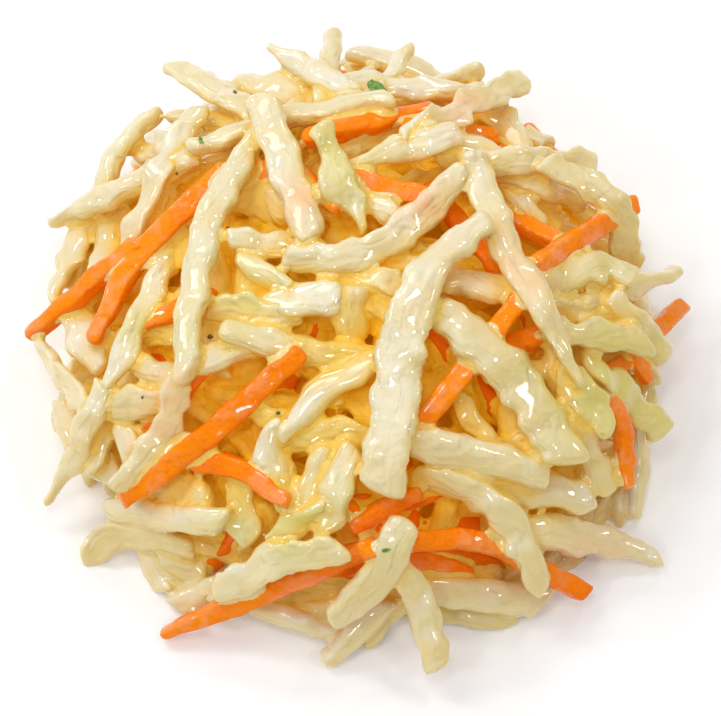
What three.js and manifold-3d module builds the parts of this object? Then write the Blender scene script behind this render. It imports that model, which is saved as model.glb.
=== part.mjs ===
// Coleslaw: a loose heap of dressed cabbage shreds and carrot sticks, as it lies on a flat surface.
// Millimetres, +Z up. The front of the heap faces -Y. The origin is at the middle of its flat base.
import * as THREE from "three";
import { mergeVertices } from "three/addons/utils/BufferGeometryUtils.js";
import Module from "manifold-3d";

// The packed middle of the heap, half an ellipsoid that the shreds lie on.
const CORE_WIDTH = 58;
const CORE_DEPTH = 59;
const CORE_HEIGHT = 21;

// The core as drawn reaches this far past the middle of the shreds laid on it, looking this far
// aside for them.
const CORE_SWELL = 0.4;
const CORE_LOOK = 4;
const CORE_TURNS = 20;
const CORE_RINGS = 10;

// The shreds that show are laid out as seen from the front at this height above the horizon.
const LOOK_ELEVATION = THREE.MathUtils.degToRad(65);

// What a cut is like. Bend is the tightest curve it takes as it lies, in 1/mm, and follow is the
// share of a hollow under it that it sinks into. Tip is how wide its ends are, as a share of its
// width. Share and widths are for the shreds laid by rule.
const CUTS = {
  leaf: { thickness: 1.7, bend: 0.04, follow: 0.7, tip: 0.45, share: 0.45, widths: [2.4, 4.4] },
  rib: { thickness: 2.4, bend: 0.025, follow: 0.5, tip: 0.6, share: 0.31, widths: [2.4, 4.4] },
  green: { thickness: 1.6, bend: 0.04, follow: 0.7, tip: 0.6, share: 0.1, widths: [2.4, 4.4] },
  carrot: { thickness: 2.3, bend: 0.01, follow: 0.2, tip: 0.7, share: 0.14, widths: [2.2, 3] },
};

// The shreds that show from the front, in the order in which they were dropped.
// Each has its cut, its width, and where it runs: [right, up] from the middle of the base.
const SHOWN = [
  ["leaf", 3.6, [-33.1, -4.7], [-30.9, -9.7], [-26, -14]],
  ["leaf", 3.2, [-30, -13.1], [-26, -4.4]],
  ["leaf", 3, [-26.6, -7], [-23.5, -13.2]],
  ["leaf", 4, [-33, 6.4], [-28.3, -1.5]],
  ["leaf", 3.6, [-26.9, 17.5], [-30.2, 5.5]],
  ["rib", 2.8, [-25.4, 0], [-18.5, -3]],
  ["leaf", 3, [-24, 1.8], [-17, 4.2]],
  ["carrot", 2.4, [-24.2, 3.2], [-15.5, 7.2]],
  ["rib", 3.2, [-18.5, -0.8], [-9.5, 1.9]],
  ["leaf", 3, [-13, -4], [-6.4, -8]],
  ["leaf", 4.4, [-7.5, -8], [2, -9.3]],
  ["leaf", 4, [-10.2, -7.4], [-7.6, -16.6]],
  ["leaf", 3, [-3.2, -9.5], [-6.8, -17.8]],
  ["leaf", 2.6, [-1.5, 9.7], [8.5, 10.9]],
  ["rib", 2.8, [-1, 18.2], [6.5, 14.4]],
  ["leaf", 2.8, [-4, 22.5], [4.5, 25]],
  ["leaf", 2.6, [-25.6, 22.8], [-14, 25]],
  ["leaf", 3, [-21.5, 27.4], [-10, 26.2]],
  ["leaf", 2.6, [-11.5, 25.3], [-20, 20.4]],
  ["leaf", 2.6, [-8, 27.6], [2, 33]],
  ["carrot", 2.2, [-6, 32.6], [5, 29.6]],
  ["leaf", 3.2, [13.2, 31], [19, 22.6]],
  ["rib", 2.8, [15, 21.7], [20.6, 13.8]],
  ["carrot", 2.6, [14, 17.6], [23.3, 12]],
  ["leaf", 2.8, [13.5, -2], [23.3, -0.6]],
  ["rib", 2.8, [21.2, 1.5], [22.9, -9]],
  ["leaf", 2.4, [9.5, -2], [15, -10.5]],
  ["carrot", 2.6, [12.8, 0.4], [23.2, 3.3]],
  ["carrot", 2.6, [7.6, 19.4], [17, 7.6]],
  ["leaf", 3.4, [23, -6.5], [28, -15]],
  ["leaf", 3.4, [31.5, -5], [31.9, -10], [30.9, -18]],
  ["carrot", 2.6, [-4, -14.4], [4.6, -20.8]],
  ["carrot", 2.4, [-1, -18.4], [7, -14.4]],
  ["carrot", 2.4, [2, -20.6], [12.5, -23.8]],
  ["leaf", 3.4, [-25, -19.5], [-21.6, -26.4]],
  ["leaf", 4, [-22, -20.4], [-16.6, -25.2]],
  ["leaf", 3.6, [-31, -22.5], [-26.7, -19.7], [-18, -21]],
  ["rib", 2.6, [-15, -26.5], [-1.4, -30.7]],
  ["leaf", 3, [-20, -27.8], [-12, -23.6]],
  ["leaf", 2.8, [6, -28], [17.7, -28.9]],
  ["leaf", 2.6, [0.8, -32.3], [5.5, -25]],
  ["rib", 2, [14.2, 33], [3, 28.2]],
  ["rib", 3, [-4, 31], [14.8, 29.6]],
  ["rib", 2.4, [-2.7, 37.1], [-4.2, 26]],
  ["leaf", 2.4, [6.3, 35.4], [-1, 26.4]],
  ["carrot", 3, [-6.4, 24.2], [8.6, 27.8]],
  ["carrot", 2.4, [5, 26.4], [15.8, 24.7]],
  ["carrot", 2.6, [-14.4, 17.2], [-6.4, 23.4]],
  ["carrot", 2.4, [-8, 22.4], [-2, 16]],
  ["carrot", 2.9, [-4, 21.6], [3, 18.7], [8.8, 17.7]],
  ["leaf", 4.4, [-15, 18.7], [-5, 15.4]],
  ["leaf", 2.6, [-4, 10], [4.4, 4.2]],
  ["leaf", 3, [-1.6, 10.6], [6.6, 6.2]],
  ["rib", 4.2, [-0.8, 8], [-1.2, 0.6]],
  ["rib", 4.2, [-10.8, 6.1], [-1.6, 6.5]],
  ["green", 3.8, [-16.3, 5.8], [-6, 4.2]],
  ["leaf", 2.6, [-13.4, 11.2], [-7, 7.2]],
  ["rib", 4.2, [9.6, 24.2], [18, 20.7], [25.6, 16.7]],
  ["leaf", 3.4, [13, 21.8], [26.9, 21.8]],
  ["carrot", 2.8, [19.3, 10], [31.1, 17.4]],
  ["leaf", 3.8, [20.5, 22], [28.2, 17], [30.8, 9.6]],
  ["carrot", 2.4, [36.8, 6.1], [27, -2.6]],
  ["carrot", 2.3, [25.6, -1], [29.1, -8], [29.8, -14.5]],
  ["carrot", 2, [29, 3.4], [32.4, -2.8]],
  ["green", 3.4, [24.5, 0.6], [34.2, -8.5]],
  ["leaf", 2.8, [20.6, 5.6], [28.6, 4.1]],
  ["rib", 2.9, [24, 5.6], [36.2, 9.8]],
  ["leaf", 3.4, [27.6, 7], [34.5, -0.1]],
  ["rib", 3.4, [20.5, 3.3], [32, 1.7]],
  ["leaf", 3.6, [19, 7.4], [26.7, 10], [31, 8.6]],
  ["rib", 3.6, [7, 8.8], [19, 7]],
  ["carrot", 2.8, [18.2, 7], [5.5, -9]],
  ["rib", 4.4, [15, -18.6], [26.9, -20.2], [33.9, -22.6]],
  ["rib", 3.8, [13, -13.8], [26.1, -15.3]],
  ["rib", 4, [4, -8.4], [21, -12.8]],
  ["green", 4.2, [21.8, -1.2], [28, -8]],
  ["rib", 5.2, [8, 5.8], [15.8, -0.9], [23.4, -11.7]],
  ["green", 2.8, [7.8, 26.3], [12.2, 18]],
  ["leaf", 3.8, [12.6, 23], [15.8, 13.1], [20.2, 5.3], [24.5, -3.2]],
  ["carrot", 2.9, [-21.9, -30.7], [-10.9, -26], [2.2, -20.3]],
  ["carrot", 2.6, [0.2, -21.1], [12.4, -19.9], [25.5, -26.3]],
  ["rib", 3.8, [6, -25.2], [20.9, -27.1]],
  ["leaf", 3.9, [6, -12.4], [14, -15.4], [18, -20.4], [20.4, -25.9]],
  ["rib", 3, [-3.9, -34], [3.4, -26.6]],
  ["leaf", 3.8, [8.9, -34.4], [7.3, -28.2], [3.6, -20.6]],
  ["rib", 4.4, [5.4, -17.4], [1.1, -25.2], [-3.2, -28.9]],
  ["green", 3.6, [-13.5, -12.6], [-11.7, -20.6]],
  ["green", 3, [-10.1, -19.7], [-3.4, -16.2]],
  ["leaf", 3.8, [-0.2, -9.6], [-4.5, -19.9]],
  ["leaf", 4, [-15.9, -26.1], [-9.6, -22.4], [-1.6, -20.4]],
  ["carrot", 2.7, [-19.6, -10.9], [-13.1, -12.2], [-7.4, -15.8]],
  ["rib", 3.4, [-28, -16.9], [-14.2, -18]],
  ["leaf", 3.8, [-29, -5.3], [-19.6, -4.8]],
  ["leaf", 3, [-34.8, -16.4], [-31.3, -10.8], [-27.8, -2.8]],
  ["leaf", 3.2, [-35.7, 1.4], [-29.6, -6]],
  ["leaf", 3, [-20.2, 12.4], [-24.2, 4], [-27.7, -3.4]],
  ["leaf", 3.2, [-29.4, 19], [-34.5, 6.2]],
  ["rib", 2.9, [-22.2, 28.1], [-27, 23.7], [-30, 15.6]],
  ["rib", 3, [-34.9, 15.1], [-28.1, 18.2], [-18, 22.5]],
  ["leaf", 3, [-17.8, 28.2], [-22, 20.9], [-26, 11.8]],
  ["carrot", 2.9, [-29.7, 1.6], [-24.2, 11.3], [-14.4, 21]],
  ["carrot", 2.7, [-37.1, 2.2], [-24, 13]],
  ["leaf", 3.8, [-20.9, 33.2], [-16.2, 30.3], [-9.4, 25.8]],
  ["rib", 3, [-10.2, 35.1], [0, 29.2]],
  ["leaf", 3.2, [19, 31.7], [12.4, 28.1], [4.6, 24.3]],
  ["leaf", 3.4, [11.4, 24.9], [4.7, 23.1], [-1.4, 21]],
  ["rib", 3, [3.9, 29], [-6.9, 26.9], [-19, 23.2]],
  ["green", 3.8, [-4.2, 26], [-2.2, 19.8], [0.9, 13.8]],
  ["leaf", 3.4, [-14.5, 13.4], [-1.6, 10.8]],
  ["leaf", 3.8, [-8.3, 11], [0.2, 11.3], [7.4, 16.2], [11.8, 21]],
  ["rib", 3.4, [-15.2, 3.2], [-6.4, 0.9], [5, -0.6]],
  ["carrot", 3.1, [-6, 0.8], [-17, -8.9], [-26.1, -15.8]],
  ["leaf", 3.4, [6, 1.2], [-1.4, -1.8], [-8.7, -8.8]],
  ["leaf", 3.2, [-19, -1.6], [-21.4, -8.2], [-26.9, -14.5]],
  ["rib", 3.5, [-11, 25], [-16, 15.9], [-18, 7], [-19, -2.8]],
  ["rib", 4.2, [-10.8, 29.3], [-8.7, 23.1], [-5, 12.7]],
  ["rib", 5.4, [14.6, 15.3], [8.2, 10], [5.2, 3], [4, -5], [2.4, -14.8]],
];

// The shreds laid by rule: first those under all the others, then some round the back and the sides.
const UNDER_COUNT = 95;
const BACK_COUNT = 44;

// The arc round the back that the second lot takes up, and how far up the core they lie, as shares.
const BACK_ARC = 1.5 * Math.PI;
const BACK_HEIGHTS = [0.04, 0.7];

// How long they are, and how far they bow sideways as a share of that.
const LENGTHS = [11, 26];
const MOST_BOW = 0.12;

// One that would come to lie further over the core than this is left out.
const UNDER_LIMIT = 4.5;
const BACK_LIMIT = 7.5;

// The random draws repeat from a seed, by a multiplier under a prime modulus. The golden share
// spreads directions evenly.
const SEED = 20731;
const MULTIPLIER = 16807;
const MODULUS = 2 ** 31 - 1;
const GOLDEN = (Math.sqrt(5) - 1) / 2;

// How closely a shred's rest is worked out: the step along it, and how many curves and leans to
// try. It leans only so far out of level where it shows, and less where it is laid by rule.
const STEP = 1.8;
const FEWEST_STEPS = 4;
const TRIES = 8;
const MOST_LEAN = 0.8;
const RULE_LEAN = 0.3;

// Two crossing shreds keep this share of their full height, and touch within this share of their
// widths. A shred presses in a little further where it is held up on no more than a few points.
const SINK = 0.72;
const SIDE_REACH = 0.42;
const GIVE = 0.9;
const GIVE_POINTS = 2;

// A shred sinks into the hollows under it, no deeper than this, found over this many points.
const MOST_DROP = 3;
const DROP_REACH = 2;

// The table holds up a shred that comes down on it, not one that is pushed out sideways.
const FROM_ABOVE = 0.8;

// A shred is drawn if at least this share of its length shows. Its ends taper over a share of it.
const LEAST_SEEN = 0.3;
const SEGMENT = 8;
const FEWEST_SEGMENTS = 3;
const TAPER = 0.2;

// Joins merge corners closer than the tolerance. A block cuts off what would be under the table.
const TOLERANCE = 0.03;
const BLOCK = 200;

const halves = new THREE.Vector3(CORE_WIDTH / 2, CORE_DEPTH / 2, CORE_HEIGHT);
const lookRight = new THREE.Vector3(1, 0, 0);
const lookUp = new THREE.Vector3(0, Math.sin(LOOK_ELEVATION), Math.cos(LOOK_ELEVATION));
const lookBack = new THREE.Vector3(0, -Math.cos(LOOK_ELEVATION), Math.sin(LOOK_ELEVATION));

// A repeatable run of numbers from 0 to 1.
function randomFrom(seed) {
  let state = seed;
  return () => {
    state = (state * MULTIPLIER) % MODULUS;
    return state / MODULUS;
  };
}

// The way out of the core at a point on or near it.
function outward(point) {
  return point.clone().divide(halves).divide(halves).normalize();
}

// How far over the surface of the core a point lies.
function heightOver(point) {
  return point.length() * (1 - 1 / point.clone().divide(halves).length());
}

// How far a point travels along a direction before it leaves the core, or null if it never meets it.
function travelToSurface(point, direction) {
  const p = point.clone().divide(halves);
  const d = direction.clone().divide(halves);
  const a = d.dot(d);
  const b = p.dot(d);
  const root = b * b - a * (p.dot(p) - 1);
  return root < 0 ? null : (-b + Math.sqrt(root)) / a;
}

// Points at an even step along a smooth line through the given ones.
function evenPoints(corners) {
  const curve = new THREE.CatmullRomCurve3(corners, false, "centripetal");
  return curve.getSpacedPoints(Math.max(FEWEST_STEPS, Math.round(curve.getLength() / STEP)));
}

const laid = [];

// How far each point has to rise to lie clear of the core, the table and every shred already laid.
// The table counts only for a shred that comes down on it.
function clearances(points, direction, width, thickness) {
  const offset = new THREE.Vector3();
  return points.map((point) => {
    let need = direction.z > FROM_ABOVE ? (thickness / 2 - point.z) / direction.z : -Infinity;
    const core = travelToSurface(point, direction);
    if (core !== null) need = Math.max(need, core + thickness / 2);
    for (const other of laid) {
      offset.subVectors(other.point, point);
      const along = offset.dot(direction);
      const aside = Math.sqrt(Math.max(0, offset.lengthSq() - along * along));
      const reach = (width + other.width) * SIDE_REACH;
      if (aside >= reach) continue;
      const apart = SINK * ((thickness + other.thickness) / 2) * Math.sqrt(1 - (aside / reach) ** 2);
      need = Math.max(need, along + apart);
    }
    return need;
  });
}

// The lowest rest of a springy stick over what it has to clear. It leans only so far from level,
// and bends no tighter than its cut allows.
function restHeights(needs, bend, step, level, lean) {
  const middle = (needs.length - 1) / 2;
  const xs = needs.map((_, i) => (i - middle) * step);
  let best = null;
  for (let k = 0; k <= TRIES; k += 1) {
    const curve = (-bend / 2) * (k / TRIES);
    for (let m = -TRIES; m <= TRIES; m += 1) {
      const slope = level + lean * (m / TRIES);
      const shape = xs.map((x) => slope * x + curve * x * x);
      const lifts = needs.map((need, i) => need - shape[i]).sort((a, b) => b - a);
      const height = Math.max(lifts[0] - GIVE, lifts[GIVE_POINTS]);
      const mean = height + shape.reduce((sum, value) => sum + value, 0) / shape.length;
      if (best === null || mean < best.mean) best = { mean, heights: shape.map((value) => height + value) };
    }
  }
  return best.heights;
}

// Where one shred comes to rest when its points rise along the direction.
function settle(cut, width, start, direction, level, lean) {
  const { thickness, bend, follow } = CUTS[cut];
  const needs = clearances(start, direction, width, thickness);
  const heights = restHeights(needs, bend, start[0].distanceTo(start[1]), level, lean);
  return start.map((point, i) => {
    const near = needs.slice(Math.max(0, i - DROP_REACH), i + DROP_REACH + 1);
    const hollow = near.reduce((sum, need) => sum + need, 0) / near.length;
    const drop = Math.min(Math.max(heights[i] - hollow, 0), MOST_DROP);
    const settled = point.clone().addScaledVector(direction, heights[i] - follow * drop);
    settled.z = Math.max(settled.z, thickness / 2);
    return settled;
  });
}

// Makes a settled shred part of the heap.
function add(cut, width, points) {
  const { thickness } = CUTS[cut];
  for (const point of points) laid.push({ point, width, thickness });
  return { cut, width, points };
}

// One shred of those that show, dropped on the heap along the line of sight.
function layShown([cut, width, ...run]) {
  const corners = run.map(([right, up]) =>
    new THREE.Vector3()
      .addScaledVector(lookRight, right)
      .addScaledVector(lookUp, up)
      .addScaledVector(lookBack, -2 * CORE_WIDTH),
  );
  const start = evenPoints(corners);
  const rise = new THREE.Vector3().subVectors(start.at(-1), start[0]).normalize();
  const level = -rise.z / lookBack.z;
  return add(cut, width, settle(cut, width, start, lookBack, level, MOST_LEAN));
}

// The cut at a place in the mix, from 0 to 1.
function cutAt(place) {
  let total = 0;
  return Object.keys(CUTS).find((cut) => {
    total += CUTS[cut].share;
    return place < total;
  });
}

// One shred by rule, round a spot on the core, dropped on it along the way out there.
// It is left out, as null, if it would come to lie further out than the limit.
function layByRule(azimuth, height, limit, random) {
  const flat = Math.sqrt(1 - height * height);
  const spot = new THREE.Vector3(
    Math.cos(azimuth) * flat,
    Math.sin(azimuth) * flat,
    height,
  ).multiply(halves);
  const out = outward(spot);
  const round = new THREE.Vector3(-Math.sin(azimuth), Math.cos(azimuth), 0);
  const steep = new THREE.Vector3().crossVectors(out, round);
  const turn = Math.PI * random();
  const cut = cutAt(random());
  const width = THREE.MathUtils.lerp(...CUTS[cut].widths, random());
  const length = THREE.MathUtils.lerp(...LENGTHS, random());
  const bow = THREE.MathUtils.lerp(-MOST_BOW, MOST_BOW, random()) * length;
  const along = round.clone().multiplyScalar(Math.cos(turn)).addScaledVector(steep, Math.sin(turn));
  const room = Math.max(0, spot.z - CUTS[cut].thickness / 2);
  const dip = Math.abs(along.z) * (length / 2);
  if (dip > room) along.z *= room / dip;
  along.normalize();
  const across = new THREE.Vector3().crossVectors(out, along);
  const corners = [-0.5, 0, 0.5].map((share) =>
    spot
      .clone()
      .addScaledVector(along, share * length)
      .addScaledVector(across, share === 0 ? bow : 0)
      .addScaledVector(out, -CORE_HEIGHT),
  );
  const start = evenPoints(corners);
  const points = settle(cut, width, start, out, 0, RULE_LEAN);
  return points.some((point) => heightOver(point) > limit) ? null : add(cut, width, points);
}

// The shreds under the rest, spread evenly from the top of the core down to its foot.
function layUnder() {
  const random = randomFrom(SEED);
  return Array.from({ length: UNDER_COUNT }, (_, i) => {
    const height = 1 - (i + 0.5) / UNDER_COUNT;
    return layByRule(2 * Math.PI * ((i * GOLDEN) % 1), height, UNDER_LIMIT, random);
  }).filter(Boolean);
}

// More of them over the back and the sides, which the shreds laid out by hand don't reach.
function layOverBack() {
  const random = randomFrom(SEED + 1);
  return Array.from({ length: BACK_COUNT }, (_, i) => {
    const share = (i + 0.5) / BACK_COUNT;
    const azimuth = Math.PI / 2 + BACK_ARC * (((i * GOLDEN) % 1) - 0.5);
    return layByRule(azimuth, THREE.MathUtils.lerp(...BACK_HEIGHTS, share), BACK_LIMIT, random);
  }).filter(Boolean);
}

const wasm = await Module();
wasm.setup();

// A closed geometry as a solid that can be joined and cut.
function solid(geometry) {
  const bare = geometry.clone();
  bare.deleteAttribute("normal");
  bare.deleteAttribute("uv");
  const merged = mergeVertices(bare);
  return new wasm.Manifold(
    new wasm.Mesh({
      numProp: 3,
      vertProperties: merged.attributes.position.array,
      triVerts: new Uint32Array(merged.index.array),
      tolerance: TOLERANCE,
    }),
  );
}

// A shred as a solid strip: a box cut into segments, bent along its line with its flat side out.
function strip({ cut, width, points }) {
  const { thickness, tip } = CUTS[cut];
  const curve = new THREE.CatmullRomCurve3(points, false, "centripetal");
  const segments = Math.max(FEWEST_SEGMENTS, Math.round(curve.getLength() / SEGMENT));
  const box = new THREE.BoxGeometry(1, 1, 1, segments, 1, 1);
  const position = box.attributes.position;
  const vertex = new THREE.Vector3();
  for (let i = 0; i < position.count; i += 1) {
    vertex.fromBufferAttribute(position, i);
    const share = THREE.MathUtils.clamp(vertex.x + 0.5, 0, 1);
    const full = Math.min(1, Math.min(share, 1 - share) / TAPER);
    const wide = width * THREE.MathUtils.lerp(tip, 1, full);
    const centre = curve.getPointAt(share);
    const along = curve.getTangentAt(share);
    const side = new THREE.Vector3().crossVectors(outward(centre), along).normalize();
    const face = new THREE.Vector3().crossVectors(along, side);
    centre.addScaledVector(side, vertex.y * wide).addScaledVector(face, vertex.z * thickness);
    position.setXYZ(i, centre.x, centre.y, centre.z);
  }
  return solid(box);
}

// The packed middle: a dome that reaches out to the middle of the shreds laid on it by rule.
function core(under) {
  const dome = new THREE.SphereGeometry(1, CORE_TURNS, CORE_RINGS);
  const position = dome.attributes.position;
  const vertex = new THREE.Vector3();
  for (let i = 0; i < position.count; i += 1) {
    vertex.fromBufferAttribute(position, i);
    vertex.set(vertex.x, -vertex.z, vertex.y).multiply(halves);
    const way = vertex.clone().normalize();
    const near = under
      .flatMap((shred) => shred.points)
      .filter((point) => point.dot(way) > 0 && point.clone().cross(way).length() < CORE_LOOK);
    const mean = near.reduce((sum, point) => sum + point.dot(way), 0) / Math.max(1, near.length);
    way.multiplyScalar(Math.max(vertex.length(), mean + CORE_SWELL));
    position.setXYZ(i, way.x, way.y, way.z);
  }
  return solid(dome);
}

// The share of a shred's length that later ones leave uncovered.
function seenShare(shred, later) {
  const seen = shred.points.filter((point) => {
    const out = outward(point);
    return !later.some((other) =>
      other.points.some((at) => {
        const offset = at.clone().sub(point);
        return offset.dot(out) > 0 && offset.cross(out).length() < other.width / 2;
      }),
    );
  });
  return seen.length / shred.points.length;
}

const under = layUnder();
const overBack = layOverBack();
const shown = SHOWN.map(layShown);

const drawn = [...overBack, ...shown].filter(
  (shred, i, all) => seenShare(shred, all.slice(i + 1)) >= LEAST_SEEN,
);
let heap = core(under);
for (const shred of drawn) heap = heap.add(strip(shred));
heap = heap.intersect(solid(new THREE.BoxGeometry(BLOCK, BLOCK, BLOCK).translate(0, 0, BLOCK / 2)));

// What comes out as one body is kept. Closed hollows in it are filled, and loose scraps are dropped.
const bodies = heap.decompose().filter((body) => body.volume() > 0);
bodies.sort((a, b) => b.volume() - a.volume());
const mesh = bodies[0].getMesh();

const geometry = new THREE.BufferGeometry();
geometry.setAttribute("position", new THREE.BufferAttribute(mesh.vertProperties, 3));
geometry.setIndex(new THREE.BufferAttribute(mesh.triVerts, 1));
geometry.computeBoundingBox();
const middle = geometry.boundingBox.getCenter(new THREE.Vector3());
geometry.translate(-middle.x, -middle.y, 0);
geometry.computeVertexNormals();

const dressed = new THREE.MeshStandardMaterial({ color: "#efe2b0", roughness: 0.35, metalness: 0 });
const heapMesh = new THREE.Mesh(geometry, dressed);
heapMesh.name = "slaw_heap";

const coleslaw = new THREE.Group();
coleslaw.name = "coleslaw";
coleslaw.add(heapMesh);

export default coleslaw;
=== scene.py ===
"""A heap of coleslaw on a plain pale floor: cabbage shreds and carrot sticks in a creamy dressing.

The heap is laid out in millimetres round the middle of its base, shred by shred, and its meshes are in
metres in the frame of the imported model. The front of the heap faces -Y.
"""

import logging
import math
from dataclasses import dataclass, field
from enum import Enum

import bpy
import numpy as np
from mathutils import Matrix, Vector
from mathutils.bvhtree import BVHTree


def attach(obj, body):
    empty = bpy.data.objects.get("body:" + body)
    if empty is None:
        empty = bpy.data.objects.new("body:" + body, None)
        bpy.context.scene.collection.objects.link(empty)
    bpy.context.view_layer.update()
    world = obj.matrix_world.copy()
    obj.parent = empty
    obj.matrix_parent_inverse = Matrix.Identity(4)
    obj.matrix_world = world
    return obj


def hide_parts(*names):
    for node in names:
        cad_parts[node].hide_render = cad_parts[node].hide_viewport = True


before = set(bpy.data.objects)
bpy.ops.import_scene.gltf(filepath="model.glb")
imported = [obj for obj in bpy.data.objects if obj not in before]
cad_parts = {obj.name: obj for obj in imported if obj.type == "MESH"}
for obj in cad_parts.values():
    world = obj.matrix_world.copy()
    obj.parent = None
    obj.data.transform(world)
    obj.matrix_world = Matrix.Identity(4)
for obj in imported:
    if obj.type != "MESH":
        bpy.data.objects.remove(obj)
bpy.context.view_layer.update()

NODE = "slaw_heap"
BODY = "root"
MM = 0.001
LOG = logging.getLogger("coleslaw")

Pair = tuple[float, float]
Spot = tuple[float, float, float]
Colour = tuple[float, float, float]

# The middle of the heap's base, seen from the middle of the model's box, in millimetres.
BASE_MIDDLE = (0.055, 2.361)

# How high over the horizon the camera stands, and the right, the up and the way back to the camera of its
# picture, in the frame of the model.
LOOK_ELEVATION = math.radians(65)
LOOK_RIGHT = np.array((1.0, 0.0, 0.0))
LOOK_UP = np.array((0.0, math.sin(LOOK_ELEVATION), math.cos(LOOK_ELEVATION)))
LOOK_BACK = np.array((0.0, -math.cos(LOOK_ELEVATION), math.sin(LOOK_ELEVATION)))

# The share of a turn that spreads spots evenly, and how low a skin may reach over the floor in millimetres.
GOLDEN = (math.sqrt(5) - 1) / 2
LOWEST = 0.03


class Cut(Enum):
    """What a shred was cut from."""

    LEAF = "leaf"
    RIB = "rib"
    GREEN = "green"
    CARROT = "carrot"


@dataclass(frozen=True)
class CutSizes:
    """Sizes of one cut in millimetres, and how it lies.

    Bend is the tightest curve it takes, in 1/mm, follow the share of a hollow that it sinks into, and
    share how much of the shreds laid by rule are of this cut.
    """

    thickness: float
    bend: float
    follow: float
    share: float
    widths: Pair


CUTS = {
    Cut.LEAF: CutSizes(1.7, 0.04, 0.7, 0.45, (2.4, 4.4)),
    Cut.RIB: CutSizes(2.4, 0.025, 0.5, 0.31, (2.4, 4.4)),
    Cut.GREEN: CutSizes(1.6, 0.04, 0.7, 0.1, (2.4, 4.4)),
    Cut.CARROT: CutSizes(2.3, 0.01, 0.2, 0.14, (2.2, 3)),
}

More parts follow.
